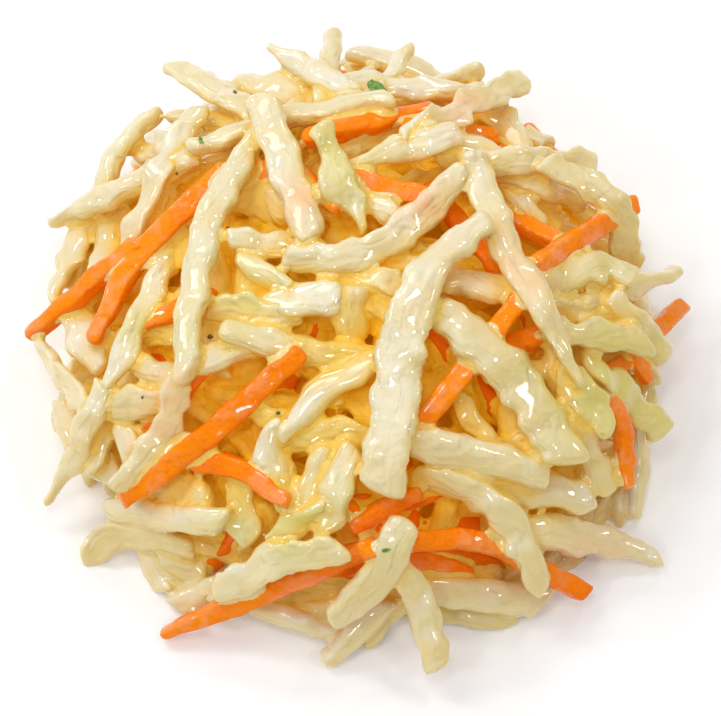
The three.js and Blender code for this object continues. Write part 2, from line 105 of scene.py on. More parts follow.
# The shreds that show from the front, in the order in which they were dropped.
# Each has its cut, its width, and where it runs: (right, up) from the middle of the base.
SHOWN = (
    (Cut.LEAF, 3.6, (-33.1, -4.7), (-30.9, -9.7), (-26, -14)),
    (Cut.LEAF, 3.2, (-30, -13.1), (-26, -4.4)),
    (Cut.LEAF, 3, (-26.6, -7), (-23.5, -13.2)),
    (Cut.LEAF, 4, (-33, 6.4), (-28.3, -1.5)),
    (Cut.LEAF, 3.6, (-26.9, 17.5), (-30.2, 5.5)),
    (Cut.RIB, 2.8, (-25.4, 0), (-18.5, -3)),
    (Cut.LEAF, 3, (-24, 1.8), (-17, 4.2)),
    (Cut.CARROT, 2.4, (-24.2, 3.2), (-15.5, 7.2)),
    (Cut.RIB, 3.2, (-18.5, -0.8), (-9.5, 1.9)),
    (Cut.LEAF, 3, (-13, -4), (-6.4, -8)),
    (Cut.LEAF, 4.4, (-7.5, -8), (2, -9.3)),
    (Cut.LEAF, 4, (-10.2, -7.4), (-7.6, -16.6)),
    (Cut.LEAF, 3, (-3.2, -9.5), (-6.8, -17.8)),
    (Cut.LEAF, 2.6, (-1.5, 9.7), (8.5, 10.9)),
    (Cut.RIB, 2.8, (-1, 18.2), (6.5, 14.4)),
    (Cut.LEAF, 2.8, (-4, 22.5), (4.5, 25)),
    (Cut.LEAF, 2.6, (-25.6, 22.8), (-14, 25)),
    (Cut.LEAF, 3, (-21.5, 27.4), (-10, 26.2)),
    (Cut.LEAF, 2.6, (-11.5, 25.3), (-20, 20.4)),
    (Cut.LEAF, 2.6, (-8, 27.6), (2, 33)),
    (Cut.CARROT, 2.2, (-6, 32.6), (5, 29.6)),
    (Cut.LEAF, 3.2, (13.2, 31), (19, 22.6)),
    (Cut.RIB, 2.8, (15, 21.7), (20.6, 13.8)),
    (Cut.CARROT, 2.6, (14, 17.6), (23.3, 12)),
    (Cut.LEAF, 2.8, (13.5, -2), (23.3, -0.6)),
    (Cut.RIB, 2.8, (21.2, 1.5), (22.9, -9)),
    (Cut.LEAF, 2.4, (9.5, -2), (15, -10.5)),
    (Cut.CARROT, 2.6, (12.8, 0.4), (23.2, 3.3)),
    (Cut.CARROT, 2.6, (7.6, 19.4), (17, 7.6)),
    (Cut.LEAF, 3.4, (23, -6.5), (28, -15)),
    (Cut.LEAF, 3.4, (31.5, -5), (31.9, -10), (30.9, -18)),
    (Cut.CARROT, 2.6, (-4, -14.4), (4.6, -20.8)),
    (Cut.CARROT, 2.4, (-1, -18.4), (7, -14.4)),
    (Cut.CARROT, 2.4, (2, -20.6), (12.5, -23.8)),
    (Cut.LEAF, 3.4, (-25, -19.5), (-21.6, -26.4)),
    (Cut.LEAF, 4, (-22, -20.4), (-16.6, -25.2)),
    (Cut.LEAF, 3.6, (-31, -22.5), (-26.7, -19.7), (-18, -21)),
    (Cut.RIB, 2.6, (-15, -26.5), (-1.4, -30.7)),
    (Cut.LEAF, 3, (-20, -27.8), (-12, -23.6)),
    (Cut.LEAF, 2.8, (6, -28), (17.7, -28.9)),
    (Cut.LEAF, 2.6, (0.8, -32.3), (5.5, -25)),
    (Cut.RIB, 2, (14.2, 33), (3, 28.2)),
    (Cut.RIB, 3, (-4, 31), (14.8, 29.6)),
    (Cut.RIB, 2.4, (-2.7, 37.1), (-4.2, 26)),
    (Cut.LEAF, 2.4, (6.3, 35.4), (-1, 26.4)),
    (Cut.CARROT, 3, (-6.4, 24.2), (8.6, 27.8)),
    (Cut.CARROT, 2.4, (5, 26.4), (15.8, 24.7)),
    (Cut.CARROT, 2.6, (-14.4, 17.2), (-6.4, 23.4)),
    (Cut.CARROT, 2.4, (-8, 22.4), (-2, 16)),
    (Cut.CARROT, 2.9, (-4, 21.6), (3, 18.7), (8.8, 17.7)),
    (Cut.LEAF, 4.4, (-15, 18.7), (-5, 15.4)),
    (Cut.LEAF, 2.6, (-4, 10), (4.4, 4.2)),
    (Cut.LEAF, 3, (-1.6, 10.6), (6.6, 6.2)),
    (Cut.RIB, 4.2, (-0.8, 8), (-1.2, 0.6)),
    (Cut.RIB, 4.2, (-10.8, 6.1), (-1.6, 6.5)),
    (Cut.GREEN, 3.8, (-16.3, 5.8), (-6, 4.2)),
    (Cut.LEAF, 2.6, (-13.4, 11.2), (-7, 7.2)),
    (Cut.RIB, 4.2, (9.6, 24.2), (18, 20.7), (25.6, 16.7)),
    (Cut.LEAF, 3.4, (13, 21.8), (26.9, 21.8)),
    (Cut.CARROT, 2.8, (19.3, 10), (31.1, 17.4)),
    (Cut.LEAF, 3.8, (20.5, 22), (28.2, 17), (30.8, 9.6)),
    (Cut.CARROT, 2.4, (36.8, 6.1), (27, -2.6)),
    (Cut.CARROT, 2.3, (25.6, -1), (29.1, -8), (29.8, -14.5)),
    (Cut.CARROT, 2, (29, 3.4), (32.4, -2.8)),
    (Cut.GREEN, 3.4, (24.5, 0.6), (34.2, -8.5)),
    (Cut.LEAF, 2.8, (20.6, 5.6), (28.6, 4.1)),
    (Cut.RIB, 2.9, (24, 5.6), (36.2, 9.8)),
    (Cut.LEAF, 3.4, (27.6, 7), (34.5, -0.1)),
    (Cut.RIB, 3.4, (20.5, 3.3), (32, 1.7)),
    (Cut.LEAF, 3.6, (19, 7.4), (26.7, 10), (31, 8.6)),
    (Cut.RIB, 3.6, (7, 8.8), (19, 7)),
    (Cut.CARROT, 2.8, (18.2, 7), (5.5, -9)),
    (Cut.RIB, 4.4, (15, -18.6), (26.9, -20.2), (33.9, -22.6)),
    (Cut.RIB, 3.8, (13, -13.8), (26.1, -15.3)),
    (Cut.RIB, 4, (4, -8.4), (21, -12.8)),
    (Cut.GREEN, 4.2, (21.8, -1.2), (28, -8)),
    (Cut.RIB, 5.2, (8, 5.8), (15.8, -0.9), (23.4, -11.7)),
    (Cut.GREEN, 2.8, (7.8, 26.3), (12.2, 18)),
    (Cut.LEAF, 3.8, (12.6, 23), (15.8, 13.1), (20.2, 5.3), (24.5, -3.2)),
    (Cut.CARROT, 2.9, (-21.9, -30.7), (-10.9, -26), (2.2, -20.3)),
    (Cut.CARROT, 2.6, (0.2, -21.1), (12.4, -19.9), (25.5, -26.3)),
    (Cut.RIB, 3.8, (6, -25.2), (20.9, -27.1)),
    (Cut.LEAF, 3.9, (6, -12.4), (14, -15.4), (18, -20.4), (20.4, -25.9)),
    (Cut.RIB, 3, (-3.9, -34), (3.4, -26.6)),
    (Cut.LEAF, 3.8, (8.9, -34.4), (7.3, -28.2), (3.6, -20.6)),
    (Cut.RIB, 4.4, (5.4, -17.4), (1.1, -25.2), (-3.2, -28.9)),
    (Cut.GREEN, 3.6, (-13.5, -12.6), (-11.7, -20.6)),
    (Cut.GREEN, 3, (-10.1, -19.7), (-3.4, -16.2)),
    (Cut.LEAF, 3.8, (-0.2, -9.6), (-4.5, -19.9)),
    (Cut.LEAF, 4, (-15.9, -26.1), (-9.6, -22.4), (-1.6, -20.4)),
    (Cut.CARROT, 2.7, (-19.6, -10.9), (-13.1, -12.2), (-7.4, -15.8)),
    (Cut.RIB, 3.4, (-28, -16.9), (-14.2, -18)),
    (Cut.LEAF, 3.8, (-29, -5.3), (-19.6, -4.8)),
    (Cut.LEAF, 3, (-34.8, -16.4), (-31.3, -10.8), (-27.8, -2.8)),
    (Cut.LEAF, 3.2, (-35.7, 1.4), (-29.6, -6)),
    (Cut.LEAF, 3, (-20.2, 12.4), (-24.2, 4), (-27.7, -3.4)),
    (Cut.LEAF, 3.2, (-29.4, 19), (-34.5, 6.2)),
    (Cut.RIB, 2.9, (-22.2, 28.1), (-27, 23.7), (-30, 15.6)),
    (Cut.RIB, 3, (-34.9, 15.1), (-28.1, 18.2), (-18, 22.5)),
    (Cut.LEAF, 3, (-17.8, 28.2), (-22, 20.9), (-26, 11.8)),
    (Cut.CARROT, 2.9, (-29.7, 1.6), (-24.2, 11.3), (-14.4, 21)),
    (Cut.CARROT, 2.7, (-37.1, 2.2), (-24, 13)),
    (Cut.LEAF, 3.8, (-20.9, 33.2), (-16.2, 30.3), (-9.4, 25.8)),
    (Cut.RIB, 3, (-10.2, 35.1), (0, 29.2)),
    (Cut.LEAF, 3.2, (19, 31.7), (12.4, 28.1), (4.6, 24.3)),
    (Cut.LEAF, 3.4, (11.4, 24.9), (4.7, 23.1), (-1.4, 21)),
    (Cut.RIB, 3, (3.9, 29), (-6.9, 26.9), (-19, 23.2)),
    (Cut.GREEN, 3.8, (-4.2, 26), (-2.2, 19.8), (0.9, 13.8)),
    (Cut.LEAF, 3.4, (-14.5, 13.4), (-1.6, 10.8)),
    (Cut.LEAF, 3.8, (-8.3, 11), (0.2, 11.3), (7.4, 16.2), (11.8, 21)),
    (Cut.RIB, 3.4, (-15.2, 3.2), (-6.4, 0.9), (5, -0.6)),
    (Cut.CARROT, 3.1, (-6, 0.8), (-17, -8.9), (-26.1, -15.8)),
    (Cut.LEAF, 3.4, (6, 1.2), (-1.4, -1.8), (-8.7, -8.8)),
    (Cut.LEAF, 3.2, (-19, -1.6), (-21.4, -8.2), (-26.9, -14.5)),
    (Cut.RIB, 3.5, (-11, 25), (-16, 15.9), (-18, 7), (-19, -2.8)),
    (Cut.RIB, 4.2, (-10.8, 29.3), (-8.7, 23.1), (-5, 12.7)),
    (Cut.RIB, 5.4, (14.6, 15.3), (8.2, 10), (5.2, 3), (4, -5), (2.4, -14.8)),
)


class Draws:
    """A repeatable run of numbers from 0 to 1."""

    MULTIPLIER = 16807
    MODULUS = 2**31 - 1

    def __init__(self, seed: int) -> None:
        """Starts the run at a seed."""
        self.state = seed

    def next(self) -> float:
        """The next number."""
        self.state = self.state * self.MULTIPLIER % self.MODULUS
        return self.state / self.MODULUS


def unit(vectors: np.ndarray) -> np.ndarray:
    """The same directions with a length of one."""
    return vectors / np.maximum(np.linalg.norm(vectors, axis=-1, keepdims=True), 1e-9)


def curve_through(corners: np.ndarray, places: np.ndarray) -> np.ndarray:
    """Points on a centripetal Catmull-Rom curve through the corners.

    Args:
        corners: The points that the curve passes through, one row each.
        places: How far along the curve each wanted point lies, from 0 to 1, in steps of the corners.

    Returns:
        The wanted points, one row each.
    """
    ends = (2 * corners[:1] - corners[1:2], 2 * corners[-1:] - corners[-2:-1])
    knots = np.concatenate((ends[0], corners, ends[1]))
    at = places * (len(corners) - 1)
    first = np.minimum(at.astype(int), len(corners) - 2)
    weight = (at - first)[:, None]
    p0, p1, p2, p3 = (knots[first + k] for k in range(4))
    spans = (p1 - p0, p2 - p1, p3 - p2)
    gaps = [np.sqrt(np.linalg.norm(span, axis=1, keepdims=True)) for span in spans]
    start = spans[0] / gaps[0] - (p2 - p0) / (gaps[0] + gaps[1]) + spans[1] / gaps[1]
    end = spans[1] / gaps[1] - (p3 - p1) / (gaps[1] + gaps[2]) + spans[2] / gaps[2]
    start = start * gaps[1]
    end = end * gaps[1]
    square = -3 * p1 + 3 * p2 - 2 * start - end
    cube = 2 * p1 - 2 * p2 + start + end
    return p1 + start * weight + square * weight**2 + cube * weight**3


def runs_along(points: np.ndarray) -> np.ndarray:
    """How far along their line each of some points lies."""
    return np.concatenate(((0,), np.cumsum(np.linalg.norm(np.diff(points, axis=0), axis=1))))


def even_points(corners: np.ndarray, step: float, fewest: int) -> np.ndarray:
    """Points at an even step along the curve through the corners.

    Args:
        corners: The points that the curve passes through.
        step: About how far apart the new points are.
        fewest: The least number of steps.

    Returns:
        The new points, one row each.
    """
    divisions = np.linspace(0, 1, 201)
    lengths = runs_along(curve_through(corners, divisions))
    count = max(fewest, int(lengths[-1] / step + 0.5))
    wanted = np.linspace(0, lengths[-1], count + 1)
    return curve_through(corners, np.interp(wanted, lengths, divisions))


@dataclass
class Shred:
    """One shred as it lies: its cut, its width, and the line that it follows, in millimetres."""

    cut: Cut
    width: float
    points: np.ndarray
    packed: bool = False


@dataclass
class HeapLayout:
    """Lays the shreds of the heap on each other, each where it comes to rest. Millimetres."""

    core: np.ndarray = field(default_factory=lambda: np.array((58, 59, 42)) / 2)
    under_count: int = 95
    back_count: int = 44
    back_arc: float = 1.5 * math.pi
    back_heights: Pair = (0.04, 0.7)
    lengths: Pair = (11, 26)
    most_bow: float = 0.12
    under_limit: float = 4.5
    back_limit: float = 7.5
    seed: int = 20731
    step: float = 1.8
    fewest_steps: int = 4
    tries: int = 8
    most_lean: float = 0.8
    rule_lean: float = 0.3
    sink: float = 0.72
    side_reach: float = 0.42
    give: float = 0.9
    give_points: int = 2
    most_drop: float = 3
    drop_reach: int = 2
    from_above: float = 0.8
    far: float = 4
    laid: list[Shred] = field(default_factory=list)

    def outward(self, points: np.ndarray) -> np.ndarray:
        """The way out of the core at points on or near it."""
        return unit(points / self.core**2)

    def height_over(self, points: np.ndarray) -> np.ndarray:
        """How far over the surface of the core points lie."""
        return np.linalg.norm(points, axis=1) * (1 - 1 / np.linalg.norm(points / self.core, axis=1))

    def travel(self, points: np.ndarray, way: np.ndarray) -> np.ndarray:
        """How far points travel along a way before they leave the core.

        Args:
            points: Where they start.
            way: The direction, of length one.

        Returns:
            The distance of each, or minus infinity where it never meets the core.
        """
        start = points / self.core
        ahead = way / self.core
        a = ahead @ ahead
        b = start @ ahead
        root = b * b - a * ((start * start).sum(1) - 1)
        return np.where(root < 0, -np.inf, (np.sqrt(np.maximum(root, 0)) - b) / a)

    def clearances(self, points: np.ndarray, way: np.ndarray, width: float, thickness: float) -> np.ndarray:
        """How far each point has to rise to lie clear of the core, the table and what is laid.

        Args:
            points: The line of a shred before it rises.
            way: The direction in which it rises.
            width: The width of the shred.
            thickness: The thickness of the shred.

        Returns:
            The rise that each point needs.
        """
        needs = self.travel(points, way) + thickness / 2
        if way[2] > self.from_above:
            needs = np.maximum(needs, (thickness / 2 - points[:, 2]) / way[2])
        if not self.laid:
            return needs
        others = np.concatenate([shred.points for shred in self.laid])
        sizes = [(shred.width, CUTS[shred.cut].thickness) for shred in self.laid for _ in shred.points]
        widths, thicknesses = np.array(sizes).T
        offset = others[None] - points[:, None]
        along = offset @ way
        aside = np.sqrt(np.maximum(0, (offset * offset).sum(2) - along**2))
        reach = (width + widths) * self.side_reach
        within = np.sqrt(np.maximum(0, 1 - (aside / reach) ** 2))
        apart = self.sink * (thickness + thicknesses) / 2 * within
        return np.maximum(needs, np.where(aside < reach, along + apart, -np.inf).max(1))

    def rest(self, needs: np.ndarray, bend: float, step: float, level: float, lean: float) -> np.ndarray:
        """The lowest rest of a springy stick over what it has to clear.

        Args:
            needs: The rise that each point needs.
            bend: The tightest curve of the stick.
            step: How far apart the points are.
            level: The slope at which the stick lies level.
            lean: How far its slope may be from that.

        Returns:
            The rise that each point gets.
        """
        along = (np.arange(len(needs)) - (len(needs) - 1) / 2) * step
        curves = -bend / 2 * np.arange(self.tries + 1) / self.tries
        slopes = level + lean * np.arange(-self.tries, self.tries + 1) / self.tries
        shapes = slopes[None, :, None] * along + curves[:, None, None] * along**2
        shapes = shapes.reshape(-1, len(needs))
        lifts = -np.sort(shapes - needs, axis=1)
        heights = np.maximum(lifts[:, 0] - self.give, lifts[:, self.give_points])
        best = np.argmin(heights + shapes.mean(1))
        return heights[best] + shapes[best]

    def settle(
        self, cut: Cut, width: float, start: np.ndarray, way: np.ndarray, level: float, lean: float
    ) -> np.ndarray:
        """Where one shred comes to rest when its points rise along a direction.

        Args:
            cut: What it was cut from.
            width: Its width.
            start: Its line before it rises.
            way: The direction in which it rises.
            level: The slope at which it lies level.
            lean: How far its slope may be from that.

        Returns:
            Its line at rest.
        """
        sizes = CUTS[cut]
        needs = self.clearances(start, way, width, sizes.thickness)
        heights = self.rest(needs, sizes.bend, np.linalg.norm(start[1] - start[0]), level, lean)
        reach = self.drop_reach
        hollows = np.array([needs[max(0, i - reach) : i + reach + 1].mean() for i in range(len(needs))])
        drops = np.minimum(np.maximum(heights - hollows, 0), self.most_drop)
        settled = start + way * (heights - sizes.follow * drops)[:, None]
        settled[:, 2] = np.maximum(settled[:, 2], sizes.thickness / 2)
        return settled

    def lay_shown(self, cut: Cut, width: float, *run: Pair) -> None:
        """Drops one of the shreds that show on the heap, along the line of sight.

        Args:
            cut: What it was cut from.
            width: Its width.
            run: Where it runs, as (right, up) from the middle of the base.
        """
        corners = np.array([LOOK_RIGHT * right + LOOK_UP * up for right, up in run])
        start = even_points(corners - self.far * self.core[0] * LOOK_BACK, self.step, self.fewest_steps)
        rise = unit(start[-1] - start[0])
        level = -rise[2] / LOOK_BACK[2]
        points = self.settle(cut, width, start, LOOK_BACK, level, self.most_lean)
        self.laid.append(Shred(cut, width, points))

    def cut_at(self, place: float) -> Cut:
        """The cut at a place in the mix, from 0 to 1."""
        total = 0.0
        for cut, sizes in CUTS.items():
            total += sizes.share
            if place < total:
                return cut
        return Cut.CARROT

    def spot_on_core(self, azimuth: float, height: float) -> tuple[np.ndarray, np.ndarray, np.ndarray]:
        """A spot on the core.

        Args:
            azimuth: Where round the core the spot is.
            height: How high on the core it is, from 0 to 1.

        Returns:
            The spot, the way out of the core there, and the level way round it.
        """
        flat = math.sqrt(1 - height * height)
        spot = np.array((math.cos(azimuth) * flat, math.sin(azimuth) * flat, height)) * self.core
        return spot, self.outward(spot), np.array((-math.sin(azimuth), math.cos(azimuth), 0))

    def lay_by_rule(self, azimuth: float, height: float, limit: float, draws: Draws) -> None:
        """Drops one shred on the core round a spot, unless it would lie too far out.

        Args:
            azimuth: Where round the core the spot is.
            height: How high on the core it is, from 0 to 1.
            limit: The furthest over the core that the shred may lie.
            draws: The random draws.
        """
        spot, out, around = self.spot_on_core(azimuth, height)
        steep = np.cross(out, around)
        turn = math.pi * draws.next()
        cut = self.cut_at(draws.next())
        low, high = CUTS[cut].widths
        width = low + (high - low) * draws.next()
        low, high = self.lengths
        length = low + (high - low) * draws.next()
        bow = self.most_bow * (2 * draws.next() - 1) * length
        along = around * math.cos(turn) + steep * math.sin(turn)
        room = max(0, spot[2] - CUTS[cut].thickness / 2)
        dip = abs(along[2]) * length / 2
        if dip > room:
            along[2] *= room / dip
        along = unit(along)
        across = np.cross(out, along)
        corners = np.array([spot + along * share * length for share in (-0.5, 0, 0.5)])
        corners[1] += across * bow
        corners -= out * self.core[2]
        start = even_points(corners, self.step, self.fewest_steps)
        points = self.settle(cut, width, start, out, 0, self.rule_lean)
        if self.height_over(points).max() <= limit:
            self.laid.append(Shred(cut, width, points))

    def lay_all(self) -> list[Shred]:
        """Lays the whole heap.

        Returns:
            Its shreds, in the order in which they were laid.
        """
        draws = Draws(self.seed)
        for i in range(self.under_count):
            azimuth = 2 * math.pi * (i * GOLDEN % 1)
            self.lay_by_rule(azimuth, 1 - (i + 0.5) / self.under_count, self.under_limit, draws)
        draws = Draws(self.seed + 1)
        low, high = self.back_heights
        for i in range(self.back_count):
            azimuth = math.pi / 2 + self.back_arc * ((i * GOLDEN % 1) - 0.5)
            height = low + (high - low) * (i + 0.5) / self.back_count
            self.lay_by_rule(azimuth, height, self.back_limit, draws)
        for cut, width, *run in SHOWN:
            self.lay_shown(cut, width, *run)
        return self.laid


@dataclass(frozen=True)
class Packing:
    """Short shreds pressed on the core, which show in the gaps between the laid ones. Millimetres.

    Plugs are more of them, where the floor would show through the heap. Each runs from one place to
    another, as (right, up, towards the camera) from the middle of the base.
    """

    count: int = 190
    points: int = 9
    lengths: Pair = (8, 16)
    lifts: Pair = (0.1, 1.5)
    plugs: tuple[tuple[Spot, Spot], ...] = (((-18.7, -22.4, 12.6), (-20.8, -26.1, 12.4)),)
    plug_width: float = 3.2
    seed: int = 4107

    def lay(self, heap: HeapLayout) -> list[Shred]:
        """Lays them all over the core.

        Args:
            heap: The heap whose core they lie on.

        Returns:
            The short shreds.
        """
        rng = np.random.default_rng(self.seed)
        shreds = []
        for i in range(self.count):
            azimuth = 2 * math.pi * (i * GOLDEN % 1)
            spot, out, around = heap.spot_on_core(azimuth, 1 - (i + 0.5) / self.count)
            turn = rng.uniform(0, math.pi)
            along = around * math.cos(turn) + np.cross(out, around) * math.sin(turn)
            half = rng.uniform(*self.lengths) / 2
            line = spot + along * np.linspace(-half, half, self.points)[:, None]
            line /= np.linalg.norm(line / heap.core, axis=1, keepdims=True)
            line += heap.outward(line) * rng.uniform(*self.lifts)
            cut = heap.cut_at(rng.uniform())
            shreds.append(Shred(cut, rng.uniform(*CUTS[cut].widths), line, packed=True))
        axes = np.array((LOOK_RIGHT, LOOK_UP, LOOK_BACK))
        for start, end in self.plugs:
            line = np.linspace(start, end, self.points) @ axes
            shreds.append(Shred(Cut.LEAF, self.plug_width, line, packed=True))
        for shred in shreds:
            shred.points[:, 2] = np.maximum(shred.points[:, 2], CUTS[shred.cut].thickness / 2)
        return shreds


@dataclass(frozen=True)
class CutForm:
    """How the shreds of one cut are shaped. Lengths are in millimetres and angles in radians.

    Square is the power of the rounded section: 2 is an oval, and more is squarer. Hollow is how much
    thinner the middle is than the rims, as a share. Edge is how far the rims wave in and out, ripple how
    far the flat waves up and down, and cup how far the rims turn up. Roll is how far the shred may be
    turned round its line, twist how far it turns from end to end, and wobble how far its line wanders.
    Rough is the height of the small lumps, as a share of the section. Tips is how wide the ends are and
    corners how far they are rounded, both as a share of the width. Slant is how far the ends are cut at a
    slope. Girth is how thick the skin is made, as a share of the size of the cut.
    """

    square: float
    hollow: float
    edge: float
    ripple: float
    cup: float
    roll: float
    twist: float
    wobble: float
    rough: float
    tips: Pair
    corners: Pair
    slant: float
    girth: float = 1.0


FORMS = {
    Cut.LEAF: CutForm(2.2, 0.14, 0.2, 0.16, 0.35, 0.5, 1.0, 0.2, 0.03, (0.55, 1.0), (0.35, 0.95), 0.7),
    Cut.RIB: CutForm(2.4, 0.12, 0.17, 0.11, 0.12, 0.4, 0.6, 0.14, 0.025, (0.6, 1.05), (0.3, 0.85), 0.7),
    Cut.GREEN: CutForm(2.2, 0.16, 0.24, 0.18, 0.4, 0.4, 0.9, 0.2, 0.04, (0.5, 1.0), (0.35, 0.95), 0.7),
    Cut.CARROT: CutForm(4.6, 0, 0.07, 0.05, 0, 0.5, 0.3, 0.1, 0.02, (0.45, 0.95), (0.3, 0.8), 0.5, 0.88),
}

# How far some of the shreds that show are moved towards the camera, in millimetres, by their place in the
# order, so that they cross as they do in the photo.
PUSHES: dict[int, float] = {
    33: -1.0, 47: 0.8, 51: 0.8, 52: 0.8, 53: 1.0, 54: 0.8, 77: 1.8, 100: 1.0, 101: -0.9,
}

# Shreds at the back that get another cut than the rule gives them, by their place in the order in which
# all are laid: a carrot would show there where the photo has none.
RECUTS: dict[int, Cut] = {98: Cut.LEAF}

# How wide most of the shreds that show are at their ends, as shares of their width, by their place in the
# order. The others draw theirs from the tips of their cut.
ENDS: dict[int, Pair] = {
    0: (0.9, 0.8), 1: (0.45, 0.9), 2: (0.8, 0.6), 3: (0.9, 0.7), 4: (0.9, 0.5), 5: (0.7, 0.9),
    21: (0.8, 0.9), 30: (0.9, 0.6), 34: (0.8, 1.0), 35: (0.9, 0.45), 36: (1.05, 0.7), 38: (1.0, 0.8),
    39: (0.9, 0.9), 40: (0.4, 0.9), 41: (0.7, 0.9), 42: (0.9, 0.7), 43: (0.85, 1.0), 44: (0.5, 1.0),
    53: (1.0, 0.6), 54: (0.35, 0.9), 55: (1.0, 0.7), 57: (0.9, 0.35), 58: (0.9, 1.0), 59: (0.9, 0.95),
    60: (0.8, 1.0), 61: (1.0, 0.8), 62: (0.9, 0.6), 64: (0.7, 1.05), 66: (0.9, 0.4), 67: (0.8, 1.05),
    68: (0.8, 1.0), 69: (0.9, 0.8), 70: (0.9, 0.9), 71: (0.9, 0.9), 72: (0.9, 0.5), 73: (0.8, 1.0),
    74: (0.9, 0.9), 75: (0.8, 0.7), 76: (0.8, 0.95), 77: (0.7, 0.4), 78: (0.9, 0.3), 79: (0.4, 0.9),
    80: (0.9, 0.95), 81: (0.9, 1.05), 82: (0.9, 0.65), 83: (0.7, 0.9), 84: (0.9, 0.7), 85: (0.8, 0.95),
    86: (0.9, 0.8), 87: (0.35, 0.9), 88: (0.9, 0.4), 89: (0.7, 0.9), 90: (0.9, 0.7), 91: (0.8, 1.0),
    92: (0.6, 0.9), 93: (0.2, 0.9), 94: (0.95, 0.7), 95: (0.9, 0.5), 96: (0.9, 0.5), 97: (0.35, 0.9),
    98: (0.3, 0.9), 99: (0.9, 0.8), 100: (0.7, 0.9), 101: (0.65, 0.9), 102: (1.0, 0.9), 103: (0.3, 0.9),
    104: (0.95, 0.8), 105: (0.9, 0.35), 106: (0.9, 0.5), 107: (0.7, 0.45), 108: (0.75, 0.9), 109: (0.8, 0.75),
    110: (0.8, 0.9), 111: (0.8, 0.75), 112: (0.9, 0.5), 113: (0.9, 0.8), 114: (0.75, 0.8), 115: (0.9, 0.85),
    116: (0.55, 0.95),
}

# Where shreds are tinted, in millimetres (right, up) from the middle of the base, and how far each tint
# reaches: green from the outer leaves, and orange from carrot juice.
GREEN_TINTS: tuple[Spot, ...] = (
    (-1.4, 19.8, 4), (-12.6, 6.5, 4), (-7.6, -18, 5), (-12, -16.9, 4), (30.2, -1.3, 5), (25.8, -4.6, 4),
    (-23.1, 3.1, 4), (-6.4, -17.4, 3), (-3.1, 21.4, 3),
)
CARROT_TINTS: tuple[Spot, ...] = (
    (11.9, 27.6, 3), (7.4, 17, 3), (-20.7, -5, 4), (17.4, 9.8, 4), (-6.4, 17.6, 3), (13.6, 7.6, 4),
    (25.8, -23.6, 4), (20, 14, 3),
)


def waves(rng: np.random.Generator, places: np.ndarray, lengths: Pair, count: int = 4) -> np.ndarray:
    """A smooth random run, mostly between -1 and 1.

    Args:
        rng: The random draws.
        places: Where it is read, in millimetres.
        lengths: The shortest and the longest wave.
        count: How many waves are added up.

    Returns:
        The run, in the shape of the places.
    """
    total = np.zeros_like(places, dtype=float)
    for _ in range(count):
        total += np.sin(2 * math.pi * (places / rng.uniform(*lengths) + rng.uniform()))
    return total / math.sqrt(count)


def waves_over(
    rng: np.random.Generator, spots: tuple[np.ndarray, ...], lengths: Pair, count: int = 6
) -> np.ndarray:
    """Smooth random waves over a surface or through a space, each in a direction of its own.

    Args:
        rng: The random draws.
        spots: The coordinates where they are read, one array for each axis.
        lengths: The shortest and the longest wave.
        count: How many waves are added up.

    Returns:
        Their height, mostly between -1 and 1.
    """
    total = np.zeros_like(spots[0], dtype=float)
    for _ in range(count):
        way = unit(rng.normal(size=len(spots)))
        place = sum(part * spot for part, spot in zip(way, spots))
        total += np.sin(2 * math.pi * (place / rng.uniform(*lengths) + rng.uniform()))
    return total / math.sqrt(count)


def ease(places: np.ndarray) -> np.ndarray:
    """A smooth step from 0 to 1."""
    held = np.clip(places, 0, 1)
    return held * held * (3 - 2 * held)


def tints_at(points: np.ndarray, tints: tuple[Spot, ...]) -> np.ndarray:
    """How strong the nearest of some tints is at points.

    Args:
        points: The points, in millimetres from the middle of the base.
        tints: Where the tints are, as (right, up, reach).

    Returns:
        From 0 to 1, one for each point.
    """
    right = points @ LOOK_RIGHT
    up = points @ LOOK_UP
    strengths = [np.exp(-((right - x) ** 2 + (up - y) ** 2) / reach**2) for x, y, reach in tints]
    return np.max(strengths, axis=0)


